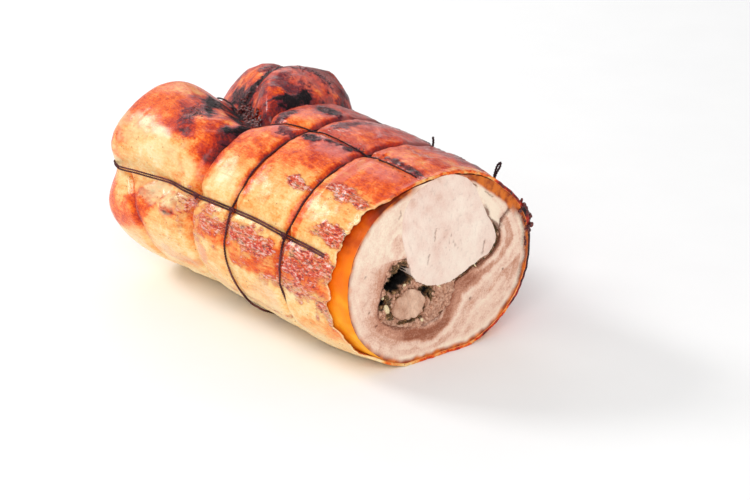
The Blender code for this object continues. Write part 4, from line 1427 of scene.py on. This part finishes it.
def feed(tree, socket, value):
    """Link a socket to another one, or set it to a plain value."""
    if isinstance(value, bpy.types.NodeSocket):
        tree.links.new(value, socket)
    else:
        socket.default_value = value


def add_node(tree, kind, inputs=None, **settings):
    node = tree.nodes.new(kind)
    for key, value in settings.items():
        setattr(node, key, value)
    for key, value in (inputs or {}).items():
        feed(tree, node.inputs[key], value)
    return node


def calculate(tree, operation, first, second=0.0):
    return add_node(tree, "ShaderNodeMath", {0: first, 1: second}, operation=operation).outputs[0]


# %% Sums and steps
def plus(tree, first, *others, clamp=False):
    """The sum of sockets and numbers, kept between 0 and 1 if it is clamped."""
    for other in others:
        first = calculate(tree, "ADD", first, other)
    first.node.use_clamp = clamp
    return first


def times(tree, first, second):
    return calculate(tree, "MULTIPLY", first, second)


def centred(tree, noise, strength):
    """Noise around 0.5 becomes a small push up or down."""
    return times(tree, calculate(tree, "SUBTRACT", noise, 0.5), strength)


def steps(tree, value, low, high):
    """0 below low, 1 above high, smooth between; turned round if low is above high."""
    node = add_node(tree, "ShaderNodeMapRange", {0: value, 1: low, 2: high, 3: 0.0, 4: 1.0},
                    interpolation_type="SMOOTHSTEP")
    return node.outputs[0]


def vectors(tree, operation, first, second):
    return add_node(tree, "ShaderNodeVectorMath", {0: first, 1: second}, operation=operation).outputs[0]


# %% Blends, ramps, bumps and masks
def blend_colours(tree, share, first, second):
    node = add_node(tree, "ShaderNodeMix", {0: share, 6: first, 7: second}, data_type="RGBA")
    return node.outputs[2]


def colour_ramp(tree, value, stops):
    ramp = add_node(tree, "ShaderNodeValToRGB", {0: value})
    elements = ramp.color_ramp.elements
    while len(elements) < len(stops):
        elements.new(0.5)
    for element, (place, colour) in zip(elements, stops):
        element.position = place
        element.color = colour
    return ramp.outputs[0]


def bumps(tree, height, distance, strength):
    """Fine relief in the shading; the distance is in millimetres."""
    inputs = {"Height": height, "Distance": distance * MM, "Strength": strength}
    return add_node(tree, "ShaderNodeBump", inputs).outputs[0]


def read_masks(tree, name):
    """The three masks painted on the piece."""
    attribute = add_node(tree, "ShaderNodeAttribute", attribute_name=name)
    return add_node(tree, "ShaderNodeSeparateColor", {0: attribute.outputs["Color"]}).outputs[:3]


# %% A new finish, and dressing a piece in it
def new_finish(name):
    """A material, its node tree and its shader."""
    material = bpy.data.materials.new(name)
    material.use_nodes = True
    tree = material.node_tree
    return material, tree, tree.nodes["Principled BSDF"]


def join_up(tree, shader, **values):
    """Give the shader its sockets and plain numbers, by the names of its inputs."""
    for name, value in values.items():
        feed(tree, shader.inputs[name.replace("_", " ")], value)


def dress(material, *pieces):
    for piece in pieces:
        piece.data.materials.clear()
        piece.data.materials.append(material)
    print(f"{material.name}: on {', '.join(piece.name for piece in pieces)}")


# %% [markdown]
# Meat, rind and herbs are all mottled at two sizes at once: soft clouds and a fine grain. That is one
# node group with a size in millimetres, used in every material with its own values. It reads Object
# coordinates, which are metres here, so a size becomes a scale of 1000 over it.

# %% Node group for mottling
MM_PER_METRE = 1000.0
GRAIN_FINENESS = 5.0               # grains in a cloud's width


def make_mottle():
    group = bpy.data.node_groups.new("mottle", "ShaderNodeTree")
    for name, value in (("Size", 10.0), ("Stretch", 1.0), ("Seed", 0.0)):
        socket = group.interface.new_socket(name=name, in_out="INPUT", socket_type="NodeSocketFloat")
        socket.default_value = value
    enter = group.nodes.new("NodeGroupInput")
    place = add_node(group, "ShaderNodeTexCoord").outputs["Object"]
    squeeze = add_node(group, "ShaderNodeCombineXYZ", {0: enter.outputs["Stretch"], 1: 1.0, 2: 1.0})
    place = vectors(group, "MULTIPLY", place, squeeze.outputs[0])
    place = vectors(group, "ADD", place, enter.outputs["Seed"])
    scale = calculate(group, "DIVIDE", MM_PER_METRE, enter.outputs["Size"])
    fine = times(group, scale, GRAIN_FINENESS)
    clouds = add_node(group, "ShaderNodeTexNoise", {"Vector": place, "Scale": scale, "Detail": 3.0})
    grain = add_node(group, "ShaderNodeTexNoise", {"Vector": place, "Scale": fine, "Detail": 4.0,
                                                   "Roughness": 0.65})
    for name in ("Clouds", "Grain"):
        group.interface.new_socket(name=name, in_out="OUTPUT", socket_type="NodeSocketFloat")
    leave = group.nodes.new("NodeGroupOutput")
    group.links.new(clouds.outputs[0], leave.inputs["Clouds"])
    group.links.new(grain.outputs[0], leave.inputs["Grain"])
    return group


MOTTLE = make_mottle()


def mottle(tree, size, stretch=1.0, seed=0.0):
    """Clouds and grain of a size; a stretch below 1 draws them out along the roast."""
    node = add_node(tree, "ShaderNodeGroup", node_tree=MOTTLE)
    for name, value in (("Size", size), ("Stretch", stretch), ("Seed", seed)):
        node.inputs[name].default_value = value
    return node.outputs["Clouds"], node.outputs["Grain"]


def nearest_spot(tree, size, seed):
    """The distance to the nearest of many scattered points, in shares of their spacing."""
    place = add_node(tree, "ShaderNodeTexCoord").outputs["Object"]
    place = vectors(tree, "ADD", place, (seed, seed, seed))
    cells = add_node(tree, "ShaderNodeTexVoronoi", {"Vector": place, "Scale": MM_PER_METRE / size})
    return cells.outputs["Distance"]


print("node group:", MOTTLE.name)

# %% [markdown]
# The rind reads its browning from the painted mask and looks it up on a ramp from pale gold over orange
# and mahogany to black. Noise of several sizes moves that tone up and down. Pinkish skin with painted
# sheen, pale fat with painted glare and red pores lie over it.

# %% Browned skin
BROWNING = ((0.0, shade(253, 228, 176)), (0.15, shade(251, 204, 132)), (0.3, shade(249, 164, 82)),
            (0.45, shade(242, 98, 8)), (0.6, shade(200, 46, 4)), (0.72, shade(140, 24, 14)),
            (0.84, shade(80, 16, 24)), (1.0, shade(24, 9, 13)))
PINK_SKIN_AND_SHEEN = shade(226, 128, 120)
# Pale fat, also used for painted glare.
PALE_FAT_AND_GLARE_COLOUR = shade(252, 226, 172)
PORE_RED = shade(160, 52, 20)


def lay_over(tree, colour, share, strength, over):
    """Another colour over this one where the share is high, at most as strong as said."""
    return blend_colours(tree, times(tree, share, strength), colour, over)


def browned_skin(tree, browning, streak, pink_and_sheen, fat_and_glare, noise):
    mottling = [centred(tree, noise[name], strength) for name, strength in
                (("clouds", 0.34), ("freckles", 0.3), ("grain", 0.34), ("long grain", 0.3))]
    tone = plus(tree, browning, *mottling, times(tree, streak, 0.3), clamp=True)
    colour = colour_ramp(tree, tone, BROWNING)
    colour = lay_over(tree, colour, pink_and_sheen, 0.65, PINK_SKIN_AND_SHEEN)
    fat_and_glare_share = times(tree, fat_and_glare, steps(tree, noise["soft"], 0.25, 0.55))
    colour = lay_over(tree, colour, fat_and_glare_share, 0.8, PALE_FAT_AND_GLARE_COLOUR)
    pores = steps(tree, nearest_spot(tree, 6, 11), 0.16, 0.06)
    return lay_over(tree, colour, pores, 0.6, PORE_RED)


# %% [markdown]
# Blistered skin is raw and red with pale flakes, dark red cracks and longer seams, all cut out of the
# same two noises at different levels; the flakes sit on the crests of its bumps and the cracks in its
# hollows, so they are also painted glints and painted shade. Char starts as a dark plum scorch and turns
# black in its middle.

# %% Sore patches and char
SORE_RED = shade(236, 66, 22)
PALE_FLAKE_AND_GLINT = shade(255, 210, 192)
CRACK_AND_SHADE = shade(134, 10, 50)
SEAM = shade(120, 14, 44)
SCORCH = shade(96, 18, 40)
BURNT = shade(22, 9, 16)


def sore_patches(tree, colour, blister, noise):
    """The colour with sore patches, how sore the skin is, and where it is broken."""
    freckles, long_grain = noise["freckles"], noise["long grain"]
    patchy = plus(tree, blister, centred(tree, noise["long clouds"], 1.6), centred(tree, long_grain, 1.6))
    sore = times(tree, steps(tree, patchy, 0.1, 1.25), steps(tree, blister, 0.02, 0.4))
    broken = steps(tree, sore, 0.25, 0.6)
    colour = lay_over(tree, colour, times(tree, sore, steps(tree, long_grain, 0.34, 0.5)), 0.9, SORE_RED)
    # Painted glints and shade: pale flakes where the fine bumps are high, dark cracks where they are low.
    for pattern, low, high, strength, over in ((freckles, 0.51, 0.6, 0.85, PALE_FLAKE_AND_GLINT),
                                               (freckles, 0.46, 0.38, 0.85, CRACK_AND_SHADE),
                                               (long_grain, 0.45, 0.38, 0.8, SEAM)):
        colour = lay_over(tree, colour, times(tree, steps(tree, pattern, low, high), broken), strength, over)
    return colour, sore, broken


def charred_skin(tree, colour, char, noise):
    """The colour with char, and where it is burnt black."""
    share = plus(tree, char, centred(tree, noise["grain"], 1.2), centred(tree, noise["freckles"], 0.8))
    scorched = times(tree, steps(tree, share, 0.1, 0.5), steps(tree, char, 0.05, 0.3))
    burnt = times(tree, steps(tree, share, 0.5, 0.9), scorched)
    colour = lay_over(tree, colour, scorched, 0.8, SCORCH)
    return blend_colours(tree, burnt, colour, BURNT), burnt


# %% [markdown]
# Fat makes the skin glossy, which is a clear coat over a rougher base. It is strongest on broken skin and
# weakest on black char. The same noises press fine relief into the surface.

# %% Rind finish
def rind_finish():
    material, tree, shader = new_finish("roasted_rind")
    browning, char, blister = read_masks(tree, "roast")
    pink_and_sheen, fat_and_glare, streak = read_masks(tree, "touch")
    noise = {}
    noise["clouds"], noise["grain"] = mottle(tree, 9)
    noise["soft"], noise["freckles"] = mottle(tree, 8, 0.32, 3)
    noise["long clouds"], noise["long grain"] = mottle(tree, 14, 0.25, 7)
    colour = browned_skin(tree, browning, streak, pink_and_sheen, fat_and_glare, noise)
    colour, sore, broken = sore_patches(tree, colour, blister, noise)
    colour, burnt = charred_skin(tree, colour, char, noise)

    rugged = plus(tree, sore, times(tree, char, 0.6), clamp=True)
    rugged = times(tree, rugged, plus(tree, noise["freckles"], noise["grain"]))
    height = plus(tree, noise["clouds"], times(tree, noise["grain"], 0.5),
                  times(tree, noise["long grain"], 0.6), times(tree, rugged, 1.4))
    coat = plus(tree, times(tree, broken, 0.3), 0.35, times(tree, burnt, -0.3), clamp=True)
    join_up(tree, shader, Base_Color=colour, Roughness=plus(tree, times(tree, noise["grain"], 0.4), 0.12),
            Coat_Weight=coat, Coat_Roughness=0.21, Specular_IOR_Level=0.12,
            Normal=bumps(tree, height, 1.6, 0.8))
    return material


dress(rind_finish(), rind)

# %% [markdown]
# Cut meat is pale and moist. The painted layers look up a ramp of four colours, from cream fat to lean,
# and each meat has its own four. Fibres show as a fine grain, juices stain the edges brown, and painted
# shade darkens cracks, gaps, slits and pores. Fat near the rind is toasted, and the same golden brown is
# painted shade under the rind's lip. Outside, where the rind has drawn back, the same belly shows its
# glazed side, from dark caramel above, partly painted shadow under the rind's lip, to bright orange below.

# %% Meat finishes
RAMP_PLACES = (0.0, 0.35, 0.65, 1.0)
BELLY_COLOURS = (shade(251, 230, 206), shade(239, 202, 180), shade(206, 150, 124), shade(152, 88, 62))
LOIN_COLOURS = (shade(251, 233, 216), shade(246, 222, 206), shade(239, 208, 192), shade(218, 174, 152))
TENDERLOIN_COLOURS = (shade(230, 192, 166), shade(212, 168, 142), shade(190, 142, 116), shade(154, 102, 78))
JUICE_AND_SHADE_BROWN = shade(100, 46, 22)
# Toasted fat; the same golden brown is also painted shade under the rind's lip.
TOASTED_AND_LIP_SHADE = (shade(150, 58, 18), shade(218, 114, 34))
# The glaze's dark end, high on the band, is partly painted shadow under the rind's lip.
GLAZE_AND_SHADOW = ((0, shade(104, 34, 10)), (0.25, shade(178, 56, 6)), (0.5, shade(244, 112, 10)),
         (0.78, shade(252, 140, 16)), (1, shade(253, 176, 40)))
FIBRE_STRETCH = (400.0, 20.0, 20.0)


def fibre_lines(tree):
    """Thin lines of fat and lean along the layers of the cut."""
    place = add_node(tree, "ShaderNodeAttribute", attribute_name="grain").outputs["Vector"]
    place = vectors(tree, "MULTIPLY", place, FIBRE_STRETCH)
    return add_node(tree, "ShaderNodeTexNoise", {"Vector": place, "Scale": 0.4, "Detail": 3.0}).outputs[0]


def meat_finish(name, layer_colours, seed, contrast, glazed_side=False):
    material, tree, shader = new_finish(name)
    lean, dark, golden_and_lip_shade = read_masks(tree, "cut")
    clouds, grain = mottle(tree, 7, 1.0, seed)
    unevenness = [centred(tree, noise, strength * contrast) for noise, strength in
                  ((clouds, 0.5), (grain, 0.6), (fibre_lines(tree), 0.3))]
    layers = plus(tree, lean, *unevenness, clamp=True)
    colour = colour_ramp(tree, layers, list(zip(RAMP_PLACES, layer_colours)))
    # The dark mask holds juice stains and char, and painted shade in cracks, gaps, slits, pores and the
    # pocket wall.
    stain_and_shade = times(tree, dark, plus(tree, steps(tree, grain, 0.2, 0.6), 0.5))
    stain_and_shade.node.use_clamp = True
    colour = lay_over(tree, colour, stain_and_shade, 0.8, JUICE_AND_SHADE_BROWN)
    toasted_and_lip_shade = blend_colours(tree, steps(tree, clouds, 0.35, 0.65), *TOASTED_AND_LIP_SHADE)
    colour = blend_colours(tree, golden_and_lip_shade, colour, toasted_and_lip_shade)
    if glazed_side:
        glaze_and_shadow, on_side, _ = read_masks(tree, "band")
        glazed_and_shadowed = colour_ramp(tree, plus(tree, glaze_and_shadow, centred(tree, clouds, 0.3), clamp=True), GLAZE_AND_SHADOW)
        colour = blend_colours(tree, on_side, colour, glazed_and_shadowed)
    height = plus(tree, grain, times(tree, clouds, 0.6))
    join_up(tree, shader, Base_Color=colour, Roughness=plus(tree, times(tree, grain, 0.3), 0.3),
            Coat_Weight=0.1, Coat_Roughness=0.3, Specular_IOR_Level=0.15,
            Normal=bumps(tree, height, 0.8, 0.5))
    return material


dress(meat_finish("cut_belly", BELLY_COLOURS, 5, 1.2, glazed_side=True), belly)
dress(meat_finish("cut_loin", LOIN_COLOURS, 11, 0.9), loin)
dress(meat_finish("cut_tenderloin", TENDERLOIN_COLOURS, 17, 1.3), tenderloin)

# %% [markdown]
# The filling is crumbled meat where the painted mask is low and herbs where it is high. Both are ramps
# over the same fine grain, and the hollow is painted with shade that fades to almost black.

# %% Herb filling finish
CRUMBLED = ((0.3, shade(126, 78, 54)), (0.45, shade(180, 128, 102)), (0.6, shade(212, 166, 140)),
            (0.75, shade(232, 196, 170)))
HERBY = ((0.3, shade(34, 20, 10)), (0.45, shade(92, 58, 30)), (0.56, shade(150, 104, 62)),
         (0.7, shade(214, 172, 122)))
HOLLOW_SHADE = shade(12, 8, 6)


def herb_finish():
    material, tree, shader = new_finish("herb_filling")
    herb_share, hollow, _ = read_masks(tree, "herb")
    clouds, grain = mottle(tree, 13, 1.0, 23)
    share = steps(tree, plus(tree, herb_share, centred(tree, clouds, 0.9)), 0.3, 0.6)
    colour = blend_colours(tree, share, colour_ramp(tree, grain, CRUMBLED), colour_ramp(tree, grain, HERBY))
    # Painted shade: the deeper the hollow, the nearer to black.
    colour = blend_colours(tree, steps(tree, hollow, 0.05, 0.5), colour, HOLLOW_SHADE)
    join_up(tree, shader, Base_Color=colour, Roughness=plus(tree, times(tree, clouds, 0.4), 0.35),
            Normal=bumps(tree, grain, 1.5, 0.8))
    return material


dress(herb_finish(), filling)

# %% [markdown]
# Twine browns from greyish rose over brown to black by its painted burn. The small things are speckled in
# two colours each, so one function makes all their finishes.

# %% Finishes of the twine and the small things
TWINE_COLOURS = ((0, shade(214, 180, 174)), (0.3, shade(126, 66, 70)), (0.6, shade(64, 26, 30)),
                 (1, shade(20, 12, 16)))


def twine_finish():
    material, tree, shader = new_finish("roasted_twine")
    burn, _, _ = read_masks(tree, "burnt")
    clouds, grain = mottle(tree, 3, 1.0, 31)
    tone = plus(tree, burn, centred(tree, grain, 0.5), clamp=True)
    join_up(tree, shader, Base_Color=colour_ramp(tree, tone, TWINE_COLOURS),
            Roughness=plus(tree, times(tree, clouds, 0.3), 0.4), Specular_IOR_Level=0.2,
            Normal=bumps(tree, grain, 0.4, 0.7))
    return material


def speckled_finish(name, first, second, size, roughness, seed):
    material, tree, shader = new_finish(name)
    clouds, grain = mottle(tree, size, 1.0, seed)
    join_up(tree, shader, Base_Color=blend_colours(tree, steps(tree, grain, 0.38, 0.62), first, second),
            Roughness=plus(tree, times(tree, clouds, 0.3), roughness - 0.15),
            Normal=bumps(tree, grain, 0.6, 0.6))
    return material


dress(twine_finish(), *rings, *strands, *knots, *stubs)
dress(speckled_finish("dried_herbs", shade(44, 34, 18), shade(138, 104, 62), 4, 0.6, 41), herbs)
dress(speckled_finish("crumbled_meat", shade(168, 114, 88), shade(216, 168, 140), 9, 0.5, 43), mince)
dress(speckled_finish("garlic", shade(224, 196, 142), shade(250, 234, 196), 2.5, 0.45, 47), garlic)
dress(speckled_finish("char", shade(20, 14, 18), shade(70, 44, 46), 1.5, 0.35, 53), crumbs)
dress(speckled_finish("burnt_rind_crust", shade(40, 14, 22), shade(128, 52, 44), 7, 0.3, 59), crust)

# %% [markdown]
# Every piece rides on the one body and stands for the imported nodes that it replaces. The table also
# lists a slot name for each piece.

# %% Riding and replacing
PIECES = (
    (rind, "rind", ("belly_wrap",)),
    (belly, "belly_meat", ("belly_wrap",)),
    (loin, "loin_meat", ("loin",)),
    (tenderloin, "tenderloin_meat", ("tenderloin",)),
    (filling, "herbs", ("herb_filling",)),
    (herbs, "herbs", ()),
    (mince, "herbs", ()),
    (garlic, "herbs", ()),
    (crumbs, "rind", ()),
    (crust, "rind", ()),
    (rings[0], "twine", ("ring_tie_front",)),
    (rings[1], "twine", ("ring_tie_middle",)),
    (rings[2], "twine", ("ring_tie_rear",)),
    (strands[0], "twine", ("side_string_upper",)),
    (strands[1], "twine", ("side_string_lower",)),
    (strands[2], "twine", ("top_string",)),
    (knots[0], "twine", ("knot_front",)),
    (knots[1], "twine", ("knot_middle",)),
    (knots[2], "twine", ("knot_rear",)),
    (stubs[0], "twine", ()),
    (stubs[1], "twine", ()),
)
for piece, slot, stands_for in PIECES:
    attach(piece, "root")
    if stands_for:
        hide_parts(*stands_for)
print(len(PIECES), "pieces ride on the roast")

# %% [markdown]
# The stage is a plain white sheet under soft studio light, bright enough for the floor to melt into the
# background. The key light stands behind the roast on the near side and rakes along it, a front light
# opens the shadows of the cut, and a weak one behind the far side gives the dark top its sheen.

# %% Floor
bpy.ops.object.select_all(action="DESELECT")
bpy.ops.mesh.primitive_plane_add(size=8, location=(0, 0, 0))
floor = bpy.context.object
floor.name = "floor"
floor_material, tree, shader = new_finish("white_sheet")
clouds, _ = mottle(tree, 60, 1.0, 61)
join_up(tree, shader, Base_Color=blend_colours(tree, clouds, shade(250, 250, 250), shade(254, 254, 254)),
        Roughness=0.7)
dress(floor_material, floor)

# %% Light
ROOM_LIGHT = 0.6
LIT_PLACE = Vector((0, 0, 0.08))

# name, place in metres, width and height of the box, power
SOFTBOXES = (("key", (-2.2, -1.1, 1.8), (0.9, 0.7), 38), ("front", (1.9, -1.7, 1.7), (1.4, 1.4), 36),
             ("rim", (-2.2, 1.2, 1.5), (1.4, 1.0), 9))

world = bpy.data.worlds.new("studio")
world.use_nodes = True
background = world.node_tree.nodes["Background"]
background.inputs["Color"].default_value = (1, 1, 1, 1)
background.inputs["Strength"].default_value = ROOM_LIGHT
bpy.context.scene.world = world


def aimed(way):
    """The rotation of a lamp or camera that looks that way."""
    return way.to_track_quat("-Z", "Y").to_euler()


for name, place, size, power in SOFTBOXES:
    bpy.ops.object.light_add(type="AREA", location=place)
    lamp = bpy.context.object
    lamp.name = name
    lamp.data.shape = "RECTANGLE"
    lamp.data.size, lamp.data.size_y = size
    lamp.data.energy = power
    lamp.rotation_euler = aimed(LIT_PLACE - Vector(place))
print("softboxes:", ", ".join(name for name, *_ in SOFTBOXES))

# %% [markdown]
# The camera looks down along the roast from the cut, at about 21 degrees, through a long lens.

# %% Camera
VIEW_WAY = Vector((0.7322, -0.5741, 0.3665))
VIEW_DISTANCE = 1.8
LENS = 110.4
LOOK_AT = Vector((CUT_X - 0.0765, AXIS_Y, 0.0642))
bpy.ops.object.camera_add(location=LOOK_AT + VIEW_DISTANCE * VIEW_WAY)
camera = bpy.context.object
camera.rotation_euler = aimed(-VIEW_WAY)
camera.data.lens = LENS
camera.data.sensor_width = 36
bpy.context.scene.camera = camera
bpy.context.scene.view_settings.view_transform = "Standard"
print(f"camera {VIEW_DISTANCE} m from the roast with a {LENS} mm lens")
